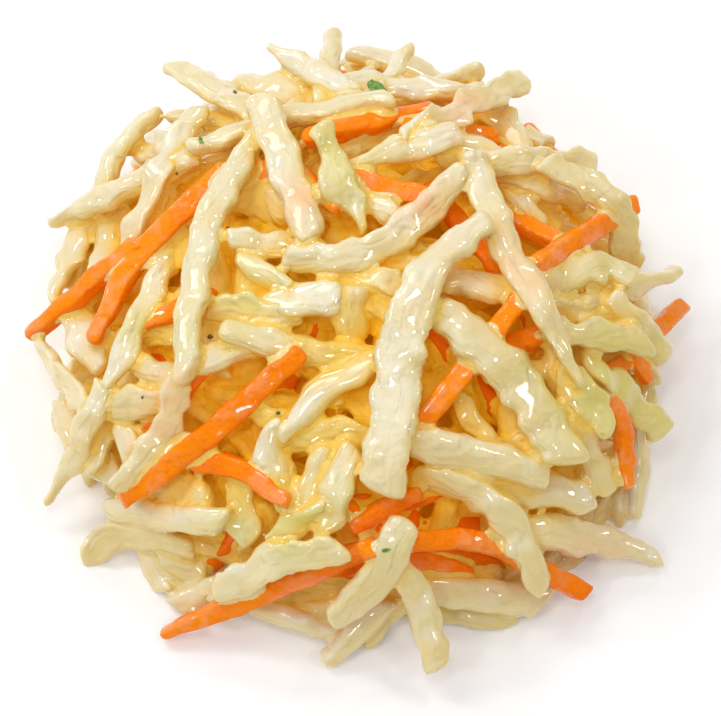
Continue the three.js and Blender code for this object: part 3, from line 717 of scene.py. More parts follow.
@dataclass
class Skin:
    """Vertices and faces that are gathered shred by shred into one mesh, with what its finish reads.

    Tone is, for each vertex, a random number for its shred, how green and how stained with carrot it is,
    and how closed in it is by the shreds round it and how near the core it lies, which the finishes paint
    as golden shade. Grain is its place along and across its shred in millimetres, and a number for its
    shred.
    """

    places: list[np.ndarray] = field(default_factory=list)
    faces: list[np.ndarray] = field(default_factory=list)
    tones: list[np.ndarray] = field(default_factory=list)
    grains: list[np.ndarray] = field(default_factory=list)
    count: int = 0

    def add(self, places: np.ndarray, faces: list[np.ndarray], tones: np.ndarray, grains: np.ndarray) -> None:
        """Adds some vertices and the faces between them.

        Args:
            places: The vertices, in millimetres.
            faces: Arrays of faces of three or four corners, as numbers of these vertices.
            tones: The tone of each vertex.
            grains: The grain of each vertex.
        """
        self.places.append(places)
        self.faces.extend(part + self.count for part in faces)
        self.tones.append(tones)
        self.grains.append(grains)
        self.count += len(places)

    def add_tube(self, rings: np.ndarray, tones: np.ndarray, grains: np.ndarray) -> None:
        """Adds a tube whose ends are drawn together to a point.

        Args:
            rings: The rings of the tube, as (ring, corner, axis). The first and the last are the tips.
            tones: The tone of each corner of each ring.
            grains: The grain of each corner of each ring.
        """
        around = rings.shape[1]
        places, *spread = [
            np.concatenate((part[0, :1], part[1:-1].reshape(-1, part.shape[2]), part[-1, :1]))
            for part in (rings, tones, grains)
        ]
        corner = np.arange(around)
        following = (corner + 1) % around
        starts = 1 + around * np.arange(len(rings) - 3)[:, None]
        here = starts + corner
        beside = starts + following
        quads = np.stack((here, beside, beside + around, here + around), axis=2).reshape(-1, 4)
        last = len(places) - 1
        foot = last - around
        head = np.stack((np.zeros_like(corner), 1 + following, 1 + corner), axis=1)
        tail = np.stack((np.full_like(corner, last), foot + corner, foot + following), axis=1)
        self.add(places, [quads, head, tail], *spread)

    def build(self, name: str) -> bpy.types.Object:
        """Makes one smooth mesh object of all that was added.

        Args:
            name: The name of the object.

        Returns:
            The object, in metres in the frame of the model.
        """
        mesh = bpy.data.meshes.new(name)
        places = (np.concatenate(self.places) + (*BASE_MIDDLE, 0)) * MM
        corners = np.concatenate([part.ravel() for part in self.faces])
        sizes = np.concatenate([np.full(len(part), part.shape[1]) for part in self.faces])
        mesh.vertices.add(len(places))
        mesh.vertices.foreach_set("co", places.ravel())
        mesh.loops.add(len(corners))
        mesh.loops.foreach_set("vertex_index", corners)
        mesh.polygons.add(len(sizes))
        mesh.polygons.foreach_set("loop_start", np.concatenate(((0,), np.cumsum(sizes)[:-1])))
        mesh.polygons.foreach_set("use_smooth", np.ones(len(sizes), dtype=bool))
        tone = mesh.attributes.new("tone", "FLOAT_COLOR", "POINT")
        tone.data.foreach_set("color", np.concatenate(self.tones).ravel())
        grain = mesh.attributes.new("grain", "FLOAT_VECTOR", "POINT")
        grain.data.foreach_set("vector", np.concatenate(self.grains).ravel())
        mesh.update(calc_edges=True)
        mesh.validate()
        made = bpy.data.objects.new(name, mesh)
        bpy.context.scene.collection.objects.link(made)
        return made


@dataclass
class ShredSkins:
    """Gives each shred of the heap its skin. Millimetres.

    Ends is how wide some shreds are at their two ends, as shares of their width, by their number. A pair
    named for waves is the shortest and the longest wave, and a pair named for shares the least and the
    most of what the form of the cut says. Tapers is over what share of its length an end narrows, and
    longest taper the most that this may be, in widths. Blunt is over what share of its thickness an end is
    rounded through. Tint is how strong the green of the tints is, and least green how green at the least a
    green shred is. Grain gap is how far apart the grains of two shreds are.
    """

    heap: HeapLayout
    ends: dict[int, Pair] = field(default_factory=dict)
    step: float = 0.48
    step_packed: float = 0.75
    around: int = 16
    around_packed: int = 12
    end_rings: tuple[float, ...] = (0, 0.03, 0.1, 0.22, 0.4, 0.65)
    to_camera: float = 0.6
    roll_waves: Pair = (7, 16)
    roll_drift: float = 0.12
    fade: float = 4
    side_waves: Pair = (6, 13)
    face_waves: Pair = (5, 11)
    tapers: Pair = (0.25, 0.6)
    longest_taper: float = 3.5
    edge_shares: Pair = (0.4, 1.8)
    edge_waves: Pair = (2.8, 8)
    narrowest: float = 0.25
    corner_powers: Pair = (2, 3)
    blunt: float = 0.4
    slant_reach: float = 1.2
    hollow_shares: Pair = (0.4, 1.2)
    crease_waves: Pair = (6, 18)
    cup_shares: Pair = (-0.4, 1)
    ripple_waves: Pair = (3.2, 9)
    lump_waves: Pair = (1.1, 3.4)
    tint: float = 0.7
    least_green: Pair = (0.1, 0.4)
    grain_gap: float = 7.3
    seed: int = 900

    def section(self, form: CutForm, around: int) -> tuple[np.ndarray, np.ndarray]:
        """The rounded section of a shred, from -1 to 1 across and through it.

        Args:
            form: The shape of its cut.
            around: How many corners the section has.

        Returns:
            Where each corner is, across and through the shred.
        """
        angles = 2 * math.pi * (np.arange(around) + 0.5) / around
        ways = (np.cos(angles), np.sin(angles))
        across, through = (np.sign(way) * np.abs(way) ** (2 / form.square) for way in ways)
        return across, through

    def lengthwise(self, line: np.ndarray, step: float) -> tuple[np.ndarray, np.ndarray]:
        """Places the rings of a shred along its line, closer together near its ends.

        Args:
            line: The line of the shred.
            step: How far apart the rings are between the ends.

        Returns:
            The middle of each ring, and how far along the shred it is.
        """
        fine = even_points(line, 0.1, 40)
        runs = runs_along(fine)
        length = runs[-1]
        ends = np.array(self.end_rings)
        start = ends[-1] + step / 2
        inner = np.linspace(start, length - start, max(4, round((length - 2 * start) / step)))
        along = np.concatenate((ends, inner, length - ends[::-1]))
        middle = np.stack([np.interp(along, runs, fine[:, axis]) for axis in range(3)], axis=1)
        return middle, along

    def turned(
        self, rng: np.random.Generator, form: CutForm, middle: np.ndarray, along: np.ndarray, fade: np.ndarray
    ) -> tuple[np.ndarray, ...]:
        """Turns the rings of a shred round its line, and lets the line wander.

        Args:
            rng: The random draws of the shred.
            form: The shape of its cut.
            middle: The middle of each ring.
            along: How far along the shred each ring is.
            fade: How far each ring may change, from 0 at the ends to 1.

        Returns:
            The middle of each ring, and its ways across, through and along the shred.
        """
        tangent = unit(np.gradient(middle, along, axis=0))
        out = unit(self.heap.outward(middle) + LOOK_BACK * self.to_camera)
        side = unit(np.cross(out, tangent))
        face = np.cross(tangent, side)
        roll = rng.uniform(-form.roll, form.roll)
        roll = roll + form.twist * (along / along[-1] - 0.5) * rng.uniform(-1, 1)
        roll = (roll + self.roll_drift * waves(rng, along, self.roll_waves))[:, None]
        side, face = side * np.cos(roll) + face * np.sin(roll), face * np.cos(roll) - side * np.sin(roll)
        middle = middle + side * (form.wobble * waves(rng, along, self.side_waves) * fade)[:, None]
        middle = middle + face * (form.wobble * 0.5 * waves(rng, along, self.face_waves) * fade)[:, None]
        return middle, side, face, tangent

    def outline(
        self, rng: np.random.Generator, shred: Shred, number: int, along: np.ndarray
    ) -> tuple[np.ndarray, ...]:
        """The outline of a shred: tapered, with wavy rims and rounded, slanting ends.

        Args:
            rng: The random draws of the shred.
            shred: The shred.
            number: Its number in the heap.
            along: How far along the shred each ring is.

        Returns:
            How far each ring reaches to the left and to the right, how much of its thickness it has, and
            how far it slants.
        """
        form = FORMS[shred.cut]
        half = shred.width / 2 * form.girth
        runs = (along, along[-1] - along)
        taper = np.ones_like(along)
        tips = rng.uniform(*form.tips, 2)
        for run, tip in zip(runs, self.ends.get(number, tips)):
            reach = min(along[-1] * rng.uniform(*self.tapers), shred.width * self.longest_taper)
            taper *= tip + (1 - tip) * ease(run / reach)
        edge = form.edge * rng.uniform(*self.edge_shares)
        rims = [half * taper + edge * waves(rng, along, self.edge_waves) for _ in range(2)]
        width = np.ones_like(along)
        height = np.ones_like(along)
        slant = np.zeros_like(along)
        for run, way in zip(runs, (1, -1)):
            radius = shred.width * rng.uniform(*form.corners) / 2
            power = rng.uniform(*self.corner_powers)
            width *= (1 - (1 - np.clip(run / radius, 0, 1)) ** power) ** (1 / power)
            blunt = np.clip(run / (CUTS[shred.cut].thickness * form.girth * self.blunt), 0, 1)
            height *= (1 - (1 - blunt) ** 2) ** 0.5
            drop = 1 - ease(run / (shred.width * self.slant_reach))
            slant += way * rng.uniform(-form.slant, form.slant) * drop
        left, right = (np.maximum(rim, self.narrowest * half) * width for rim in rims)
        return left, right, height, slant

    def add(self, skin: Skin, shred: Shred, number: int) -> None:
        """Adds one shred to the skin of its kind.

        Args:
            skin: The skin that it joins.
            shred: The shred.
            number: Its number in the heap, which its random shape follows.
        """
        rng = np.random.default_rng(self.seed + number)
        form = FORMS[shred.cut]
        middle, along = self.lengthwise(shred.points, self.step_packed if shred.packed else self.step)
        fade = ease(np.minimum(along, along[-1] - along) / self.fade)
        middle, side, face, tangent = self.turned(rng, form, middle, along, fade)
        left, right, height, slant = self.outline(rng, shred, number, along)
        across, through = self.section(form, self.around_packed if shred.packed else self.around)

        x = np.where(across < 0, left[:, None] * across, right[:, None] * across)
        hollow = form.hollow * (1 - across**2) * rng.uniform(*self.hollow_shares)
        y = through * (CUTS[shred.cut].thickness * form.girth / 2 * (1 - hollow)) * height[:, None]
        crease = 0.5 * waves(rng, along, self.crease_waves)[:, None]
        bowl = (x / (shred.width / 2 * form.girth) - crease) ** 2
        y = y + form.cup * rng.uniform(*self.cup_shares) * bowl * fade[:, None]
        grid = np.broadcast_to(along[:, None], x.shape)
        y = y + form.ripple * waves_over(rng, (grid, x), self.ripple_waves) * fade[:, None]
        lumps = waves_over(rng, (grid, x * 2, y * 2), self.lump_waves, 8)
        swell = 1 + form.rough * 2 * lumps * height[:, None]
        rings = middle[:, None] + side[:, None] * (x * swell)[..., None]
        rings = rings + face[:, None] * (y * swell)[..., None]
        rings = rings + tangent[:, None] * (slant[:, None] * x)[..., None]
        rings[[0, -1]] = rings[[0, -1]].mean(1, keepdims=True)
        rings[..., 2] = np.maximum(rings[..., 2], LOWEST)

        flat = rings.reshape(-1, 3)
        green = tints_at(flat, GREEN_TINTS) * self.tint
        if shred.cut is Cut.GREEN:
            green = np.maximum(green, rng.uniform(*self.least_green))
        stain = tints_at(flat, CARROT_TINTS)
        tone = np.full(len(flat), rng.uniform())
        tones = np.stack((tone, green, stain, np.zeros_like(tone)), axis=1)
        seeds = np.full(len(flat), number * self.grain_gap)
        grains = np.stack((grid.ravel(), (x + y).ravel(), seeds), axis=1)
        shape = rings.shape[:2]
        skin.add_tube(rings, tones.reshape(*shape, 4), grains.reshape(*shape, 3))


@dataclass(frozen=True)
class Core:
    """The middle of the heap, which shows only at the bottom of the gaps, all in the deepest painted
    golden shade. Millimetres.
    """

    name: str = "slaw_core"
    rings: int = 70
    around: int = 180
    shrink: float = 0.99
    lumps: float = 0.5
    lump_waves: Pair = (4, 11)
    seed: int = 77

    def build(self, heap: HeapLayout) -> bpy.types.Object:
        """Builds the lumpy dome.

        Args:
            heap: The heap that it is the middle of.

        Returns:
            The dome.
        """
        rng = np.random.default_rng(self.seed)
        rise = np.linspace(math.pi / 2, 0, self.rings)[:, None]
        turn = np.linspace(0, 2 * math.pi, self.around, endpoint=False)[None]
        flat = np.cos(rise)
        spots = np.stack((flat * np.cos(turn), flat * np.sin(turn), np.sin(rise) + 0 * turn), axis=2)
        places = spots * heap.core * self.shrink
        lumps = waves_over(rng, tuple(np.moveaxis(places, 2, 0)), self.lump_waves, 14)
        places = places + spots * (self.lumps * (lumps - 1))[..., None]
        places[..., 2] = np.maximum(places[..., 2], 0)
        places[-1, :, 2] = 0
        floor = np.zeros((1, self.around, 3))
        rings = np.concatenate((places, floor))[::-1]
        # Every vertex gets the full painted shade, so the core is all in the deepest painted golden shade.
        tones = np.ones((*rings.shape[:2], 4)) * (0.5, 0, 0, 1)
        skin = Skin()
        skin.add_tube(rings, tones, rings.copy())
        return skin.build(self.name)


@dataclass
class Surface:
    """The skins of some pieces taken together, as arrays in millimetres round the middle of the base."""

    pieces: list[bpy.types.Object]

    def __post_init__(self) -> None:
        """Gathers the skins."""
        parts = []
        count = 0
        for piece in self.pieces:
            mesh = piece.data
            edges = self.read(mesh.edges, "vertices", 2) + count
            corners = self.read(mesh.loops, "vertex_index") + count
            totals = self.read(mesh.polygons, "loop_total")
            places = self.read(mesh.vertices, "co", 3)
            normals = self.read(mesh.vertex_normals, "vector", 3)
            tones = self.read(mesh.attributes["tone"].data, "color", 4)
            parts.append((edges, corners, totals, places, normals, tones))
            count += len(mesh.vertices)
        self.edges, corners, totals, places, self.normals, self.tones = map(np.concatenate, zip(*parts))
        self.places = places / MM - (*BASE_MIDDLE, 0)
        starts = np.concatenate(((0,), np.cumsum(totals)[:-1]))
        self.first = corners[starts]
        self.faces = [part.tolist() for part in np.split(corners, starts[1:])]
        self.tree = BVHTree.FromPolygons(self.places.tolist(), self.faces)

    def write_tones(self) -> None:
        """Writes the tones back to the meshes."""
        count = 0
        for piece in self.pieces:
            size = len(piece.data.vertices)
            tones = self.tones[count : count + size]
            piece.data.attributes["tone"].data.foreach_set("color", tones.astype(np.float32).ravel())
            count += size

    @staticmethod
    def read(data: bpy.types.bpy_prop_collection, name: str, each: int = 1) -> np.ndarray:
        """Reads one property of all the elements of a mesh.

        Args:
            data: The elements.
            name: The property.
            each: How many numbers each element has.

        Returns:
            The numbers, in one row for each element where it has more than one.
        """
        whole = name in ("vertex_index", "loop_total", "vertices")
        values = np.empty(len(data) * each, dtype=np.int32 if whole else np.float32)
        data.foreach_get(name, values)
        values = values.astype(int) if whole else values
        return values if each == 1 else values.reshape(-1, each)


@dataclass(frozen=True)
class Shelter:
    """How closed in the skins are by the shreds round them, which the finishes paint as golden shade.
    Millimetres.

    It is written into the last number of each vertex's tone, from 0 in the open to 1. Every third vertex
    is looked at, by rays, and the others follow their neighbours. Packed is how near the core all counts as
    closed in, and shares how much the rays and the core each count.
    """

    every: int = 3
    rays: int = 12
    reach: float = 7
    lift: float = 0.15
    rounds: int = 3
    packed: float = 5.5
    shares: Pair = (0.75, 0.95)

    def write(self, heap: HeapLayout, surface: Surface) -> None:
        """Finds it for all vertices and writes it to their meshes.

        Args:
            heap: The heap, near whose core all is closed in.
            surface: The skins.
        """
        values = np.zeros(len(surface.places))
        weight = np.zeros(len(surface.places))
        turns = 2 * math.pi * np.arange(self.rays) * GOLDEN
        flats = np.sqrt((np.arange(self.rays) + 0.5) / self.rays)
        rises = np.sqrt(1 - flats**2)
        sampled = np.arange(0, len(values), self.every)
        out = surface.normals[sampled]
        first = unit(np.cross(out, (0.31, 0.52, 0.8)))
        second = np.cross(out, first)
        starts = surface.places[sampled] + out * self.lift
        shelter = np.zeros(len(sampled))
        for turn, flat, rise in zip(turns, flats, rises):
            ways = out * rise + first * (flat * math.cos(turn)) + second * (flat * math.sin(turn))
            for i, (start, way) in enumerate(zip(starts.tolist(), ways.tolist())):
                distance = surface.tree.ray_cast(start, way, self.reach)[3]
                if distance is not None:
                    shelter[i] += 1 - distance / self.reach
        values[sampled] = shelter / self.rays
        weight[sampled] = 1
        for _ in range(self.rounds):
            values, weight = self.spread(surface, values, weight)
        low = np.clip(1 - heap.height_over(surface.places) / self.packed, 0, 1)
        # The mask of the painted golden shade: rays that meet other shreds, and nearness to the core.
        surface.tones[:, 3] = np.clip(values * self.shares[0] + low * self.shares[1], 0, 1)
        surface.write_tones()

    def spread(
        self, surface: Surface, values: np.ndarray, weight: np.ndarray
    ) -> tuple[np.ndarray, np.ndarray]:
        """Spreads known values to their neighbours.

        Args:
            surface: The skins.
            values: The value at each vertex.
            weight: How far each is known.

        Returns:
            The values and how far they are known, one step on.
        """
        total = values * weight
        count = weight.copy()
        for near, far in (surface.edges.T, surface.edges.T[::-1]):
            total += np.bincount(near, (values * weight)[far], len(values))
            count += np.bincount(near, weight[far], len(values))
        return total / np.maximum(count, 1e-6), (count > 0).astype(float)


@dataclass(frozen=True)
class Film:
    """The dressing that fills the creases where shreds touch. Millimetres.

    It is the skin of all the shreds swollen until it bridges the creases, smoothed, and shrunk until it
    is under the shreds everywhere else, where it is left out. Least over is how far over the shreds it has
    to lie to be kept, deepest how near the core it ends, and buried tone what its hidden rims get.
    """

    name: str = "dressing"
    swell: float = 0.14
    voxel: float = 0.38
    sunk: float = 0.07
    rounds: int = 3
    least_over: float = 0.01
    deepest: float = 1.4
    # Hidden rims get the full painted shade.
    buried_tone: tuple[float, ...] = (0.5, 0, 0, 1)

    def build(self, heap: HeapLayout, surface: Surface) -> bpy.types.Object:
        """Builds the dressing.

        Args:
            heap: The heap.
            surface: The skins of its shreds.

        Returns:
            The dressing.
        """
        places, faces = self.swollen(surface)
        places = self.smoothed(places, faces)
        places = places - self.ways_out(places, faces) * (self.swell + self.sunk)
        places[:, 2] = np.maximum(places[:, 2], LOWEST)
        seen = heap.height_over(places) > self.deepest
        tones = np.zeros((len(places), 4)) + self.buried_tone
        for i in np.flatnonzero(seen):
            near, normal, face, _ = surface.tree.find_nearest(places[i])
            seen[i] = normal.dot(Vector(places[i]) - near) > self.least_over
            tones[i] = surface.tones[surface.first[face]]
        faces = faces[seen[faces].any(axis=1)]
        used, numbers = np.unique(faces, return_inverse=True)
        skin = Skin()
        skin.add(places[used], [numbers.reshape(faces.shape)], tones[used], places[used])
        return skin.build(self.name)

    def swollen(self, surface: Surface) -> tuple[np.ndarray, np.ndarray]:
        """The skin round all the shreds after they swell.

        Args:
            surface: The skins of the shreds.

        Returns:
            Its vertices and its faces, of four corners each.
        """
        mesh = bpy.data.meshes.new("swollen")
        mesh.from_pydata((surface.places + surface.normals * self.swell).tolist(), [], surface.faces)
        rough = bpy.data.objects.new("swollen", mesh)
        bpy.context.scene.collection.objects.link(rough)
        remesh = rough.modifiers.new("remesh", "REMESH")
        remesh.mode = "VOXEL"
        remesh.voxel_size = self.voxel
        made = rough.evaluated_get(bpy.context.evaluated_depsgraph_get()).to_mesh()
        places = Surface.read(made.vertices, "co", 3).astype(float)
        faces = Surface.read(made.loops, "vertex_index").reshape(-1, 4)
        bpy.data.objects.remove(rough)
        bpy.data.meshes.remove(mesh)
        return places, faces

    @staticmethod
    def gathered(faces: np.ndarray, values: np.ndarray, count: int) -> np.ndarray:
        """Adds up, at each vertex, what the faces round it have.

        Args:
            faces: The faces, of four corners each.
            values: What each face has, as three numbers.
            count: How many vertices there are.

        Returns:
            The sums, one row for each vertex.
        """
        sums = [np.bincount(faces.ravel(), np.repeat(part, 4), count) for part in values.T]
        return np.stack(sums, axis=1)

    def smoothed(self, places: np.ndarray, faces: np.ndarray) -> np.ndarray:
        """Evens out a skin.

        Args:
            places: Its vertices.
            faces: Its faces.

        Returns:
            Its vertices, each drawn to the middle of its neighbours some rounds over.
        """
        counts = np.bincount(faces.ravel(), minlength=len(places))[:, None]
        for _ in range(self.rounds):
            places = self.gathered(faces, places[faces].mean(1), len(places)) / np.maximum(counts, 1)
        return places

    def ways_out(self, places: np.ndarray, faces: np.ndarray) -> np.ndarray:
        """The way out of a skin at each vertex.

        Args:
            places: Its vertices.
            faces: Its faces.

        Returns:
            The ways out, of length one.
        """
        corners = places[faces]
        crosses = np.cross(corners[:, 2] - corners[:, 0], corners[:, 3] - corners[:, 1])
        return unit(self.gathered(faces, crosses, len(places)))


@dataclass(frozen=True)
class Flecks:
    """Flecks of one seasoning, each where it lies on the heap. Millimetres.

    Each fleck has its place, as (right, up) from the middle of the base, and its length.
    """

    name: str
    spots: tuple[Spot, ...]
    flatness: float
    curl: float
    seed: int
    rings: int = 9
    around: int = 12

    def build(self, surface: Surface) -> bpy.types.Object:
        """Builds them all as one piece.

        Args:
            surface: The skins that they lie on.

        Returns:
            The flecks.
        """
        rng = np.random.default_rng(self.seed)
        skin = Skin()
        for right, up, length in self.spots:
            start = LOOK_RIGHT * right + LOOK_UP * up + LOOK_BACK * 60
            hit, normal, _, _ = surface.tree.ray_cast(start, -LOOK_BACK)
            if hit is None:
                continue
            middle = np.array(hit)
            above = np.array(normal)
            first = unit(np.cross(above, rng.normal(size=3)))
            second = np.cross(above, first)
            width = length * rng.uniform(0.5, 0.8)
            rise = np.linspace(0, math.pi, self.rings)[:, None]
            turn = np.linspace(0, 2 * math.pi, self.around, endpoint=False)[None]
            along = -np.cos(rise) + 0 * turn
            across = np.sin(rise) * np.cos(turn)
            through = np.sin(rise) * np.sin(turn)
            grow = 1 + 0.22 * waves_over(rng, (along, across, through), (0.7, 1.6), 6)
            bent = through * self.flatness + self.curl * (along**2 + across**2 * rng.uniform(-1, 1))
            sizes = ((along, length), (across, width), (bent, length))
            spots = np.stack([part * grow * size / 2 for part, size in sizes], axis=2)
            places = middle + spots[..., :1] * first + spots[..., 1:2] * second
            places = places + (spots[..., 2:] + self.flatness * length * 0.2) * above
            tones = np.ones((*places.shape[:2], 4)) * (rng.uniform(), 0, 0, 0)
            skin.add_tube(places, tones, places.copy())
        return skin.build(self.name)


PEPPER_SPOTS: tuple[Spot, ...] = (
    (-13.8, 29.8, 0.6), (-17.6, 24.4, 0.45), (-14.4, 14.4, 0.55), (-20.2, 20.6, 0.4), (-16.2, 2.3, 0.6),
    (-23.6, -4.3, 0.4), (-8.7, -6, 0.5),
)
HERB_SPOTS: tuple[Spot, ...] = ((2.2, 30.1, 2.5), (-17.5, 24.2, 0.8), (3, -20.8, 0.9))


class Wire:
    """One value that a shader works out, which plain arithmetic can be done on."""

    def __init__(self, shader: "Shader", socket: bpy.types.NodeSocket) -> None:
        """Wraps an output socket of one of the shader's nodes."""
        self.shader = shader
        self.socket = socket

    def math(
        self, operation: str, first: "Wire | float", second: "Wire | float", held: bool = False
    ) -> "Wire":
        """Adds a math node.

        Args:
            operation: The operation of the node.
            first: Its first value.
            second: Its second value.
            held: Whether the result is kept from 0 to 1.

        Returns:
            The result.
        """
        inputs = {0: first, 1: second}
        return self.shader.node("ShaderNodeMath", inputs, operation=operation, use_clamp=held)

    def __add__(self, other: "Wire | float") -> "Wire":
        """The sum."""
        return self.math("ADD", self, other)

    def __radd__(self, other: float) -> "Wire":
        """The sum."""
        return self.math("ADD", other, self)

    def __sub__(self, other: "Wire | float") -> "Wire":
        """The difference."""
        return self.math("SUBTRACT", self, other)

    def __rsub__(self, other: float) -> "Wire":
        """The difference."""
        return self.math("SUBTRACT", other, self)

    def __mul__(self, other: "Wire | float") -> "Wire":
        """The product."""
        return self.math("MULTIPLY", self, other)

    def __rmul__(self, other: float) -> "Wire":
        """The product."""
        return self.math("MULTIPLY", other, self)

    def clamp(self) -> "Wire":
        """The value kept from 0 to 1."""
        return self.math("ADD", self, 0.0, held=True)

    def smooth(self, low: float, high: float) -> "Wire":
        """A smooth step from 0 at one value to 1 at another.

        Args:
            low: Where it is 0.
            high: Where it is 1.

        Returns:
            The step.
        """
        inputs = {"Value": self, "From Min": low, "From Max": high}
        return self.shader.node("ShaderNodeMapRange", inputs, interpolation_type="SMOOTHSTEP")


class Shader:
    """The nodes of one material."""

    def __init__(self, name: str) -> None:
        """Starts a material with no nodes, under the given name."""
        self.material = bpy.data.materials.new(name)
        self.material.use_nodes = True
        self.tree = self.material.node_tree
        self.tree.nodes.clear()

    def add(self, kind: str, inputs: dict, settings: dict) -> bpy.types.Node:
        """Adds a node.

        Args:
            kind: The type of the node.
            inputs: Its inputs by name or number: wires, numbers or colours.
            settings: The settings of the node.

        Returns:
            The node.
        """
        made = self.tree.nodes.new(kind)
        for name, value in settings.items():
            setattr(made, name, value)
        for name, value in inputs.items():
            self.feed(made.inputs[name], value)
        return made

    def node(self, kind: str, inputs: dict | None = None, output: str | int = 0, **settings: object) -> Wire:
        """Adds a node for one of its outputs.

        Args:
            kind: The type of the node.
            inputs: Its inputs by name or number: wires, numbers or colours.
            output: Which output is wanted.
            settings: The settings of the node.

        Returns:
            The output.
        """
        return Wire(self, self.add(kind, inputs or {}, settings).outputs[output])

    def feed(self, socket: bpy.types.NodeSocket, value: object) -> None:
        """Sets or links an input.

        Args:
            socket: The input.
            value: A wire, a number, a colour or a vector.
        """
        if isinstance(value, Wire):
            self.tree.links.new(value.socket, socket)
        elif socket.type == "RGBA" and len(value) == 3:
            socket.default_value = (*value, 1)
        else:
            socket.default_value = value

    def mix(self, share: Wire | float, first: Wire | Colour, second: Wire | Colour) -> Wire:
        """A mix of two colours.

        Args:
            share: How much of the second colour is in it.
            first: The first colour.
            second: The second colour.

        Returns:
            The mixed colour.
        """
        return self.node("ShaderNodeMix", {0: share, 6: first, 7: second}, 2, data_type="RGBA")

    def place(self) -> Wire:
        """The place on the object, in metres."""
        return self.node("ShaderNodeTexCoord", output="Object")

    def tone(self) -> tuple[Wire, Wire, Wire, Wire]:
        """The shred's random number, how green and how stained it is, and how much painted shade it gets."""
        colour = self.node("ShaderNodeAttribute", output="Color", attribute_name="tone")
        parts = [self.node("ShaderNodeSeparateColor", {0: colour}, i) for i in range(3)]
        painted_shade_depth = self.node("ShaderNodeAttribute", output="Alpha", attribute_name="tone")
        return (*parts, painted_shade_depth)

    def along_grain(self, scale: Spot) -> Wire:
        """The place along and across the shred, scaled.

        Args:
            scale: How many times each is scaled, in 1/mm.

        Returns:
            The scaled place.
        """
        grain = self.node("ShaderNodeAttribute", output="Vector", attribute_name="grain")
        return self.node("ShaderNodeVectorMath", {0: grain, 1: scale}, operation="MULTIPLY")

    def noise(
        self, place: Wire, scale: float, detail: float = 2, rough: float = 0.5, bend: float = 0
    ) -> Wire:
        """Smooth noise, mostly from 0.3 to 0.7.

        Args:
            place: Where it is read.
            scale: How fine it is.
            detail: How many finer layers it has.
            rough: How strong those are.
            bend: How far it is bent out of shape.

        Returns:
            The noise.
        """
        inputs = {"Vector": place, "Scale": scale, "Detail": detail, "Roughness": rough, "Distortion": bend}
        return self.node("ShaderNodeTexNoise", inputs)

    def facing(self, way: Spot) -> Wire:
        """How far the surface faces a way in the frame of the model, from -1 to 1.

        Args:
            way: The way, of about length one.

        Returns:
            How far it faces it.
        """
        normal = self.node("ShaderNodeNewGeometry", output="Normal")
        inputs = {0: normal, 1: way}
        return self.node("ShaderNodeVectorMath", inputs, "Value", operation="DOT_PRODUCT")

    def bump(self, height: Wire, distance: float, strength: float = 1, over: Wire | None = None) -> Wire:
        """A normal that follows a height.

        Args:
            height: The height, from 0 to 1.
            distance: How high 1 is, in metres.
            strength: How much of it is felt.
            over: A normal that it is added to.

        Returns:
            The normal.
        """
        inputs = {"Height": height, "Distance": distance, "Strength": strength}
        if over is not None:
            inputs["Normal"] = over
        return self.node("ShaderNodeBump", inputs)

    def finish(self, **inputs: object) -> bpy.types.Material:
        """Ends the material in a surface.

        Args:
            inputs: The inputs of the surface, with _ for each space.

        Returns:
            The material.
        """
        named = {name.replace("_", " "): value for name, value in inputs.items()}
        surface = self.node("ShaderNodeBsdfPrincipled", named)
        self.add("ShaderNodeOutputMaterial", {"Surface": surface}, {})
        return self.material


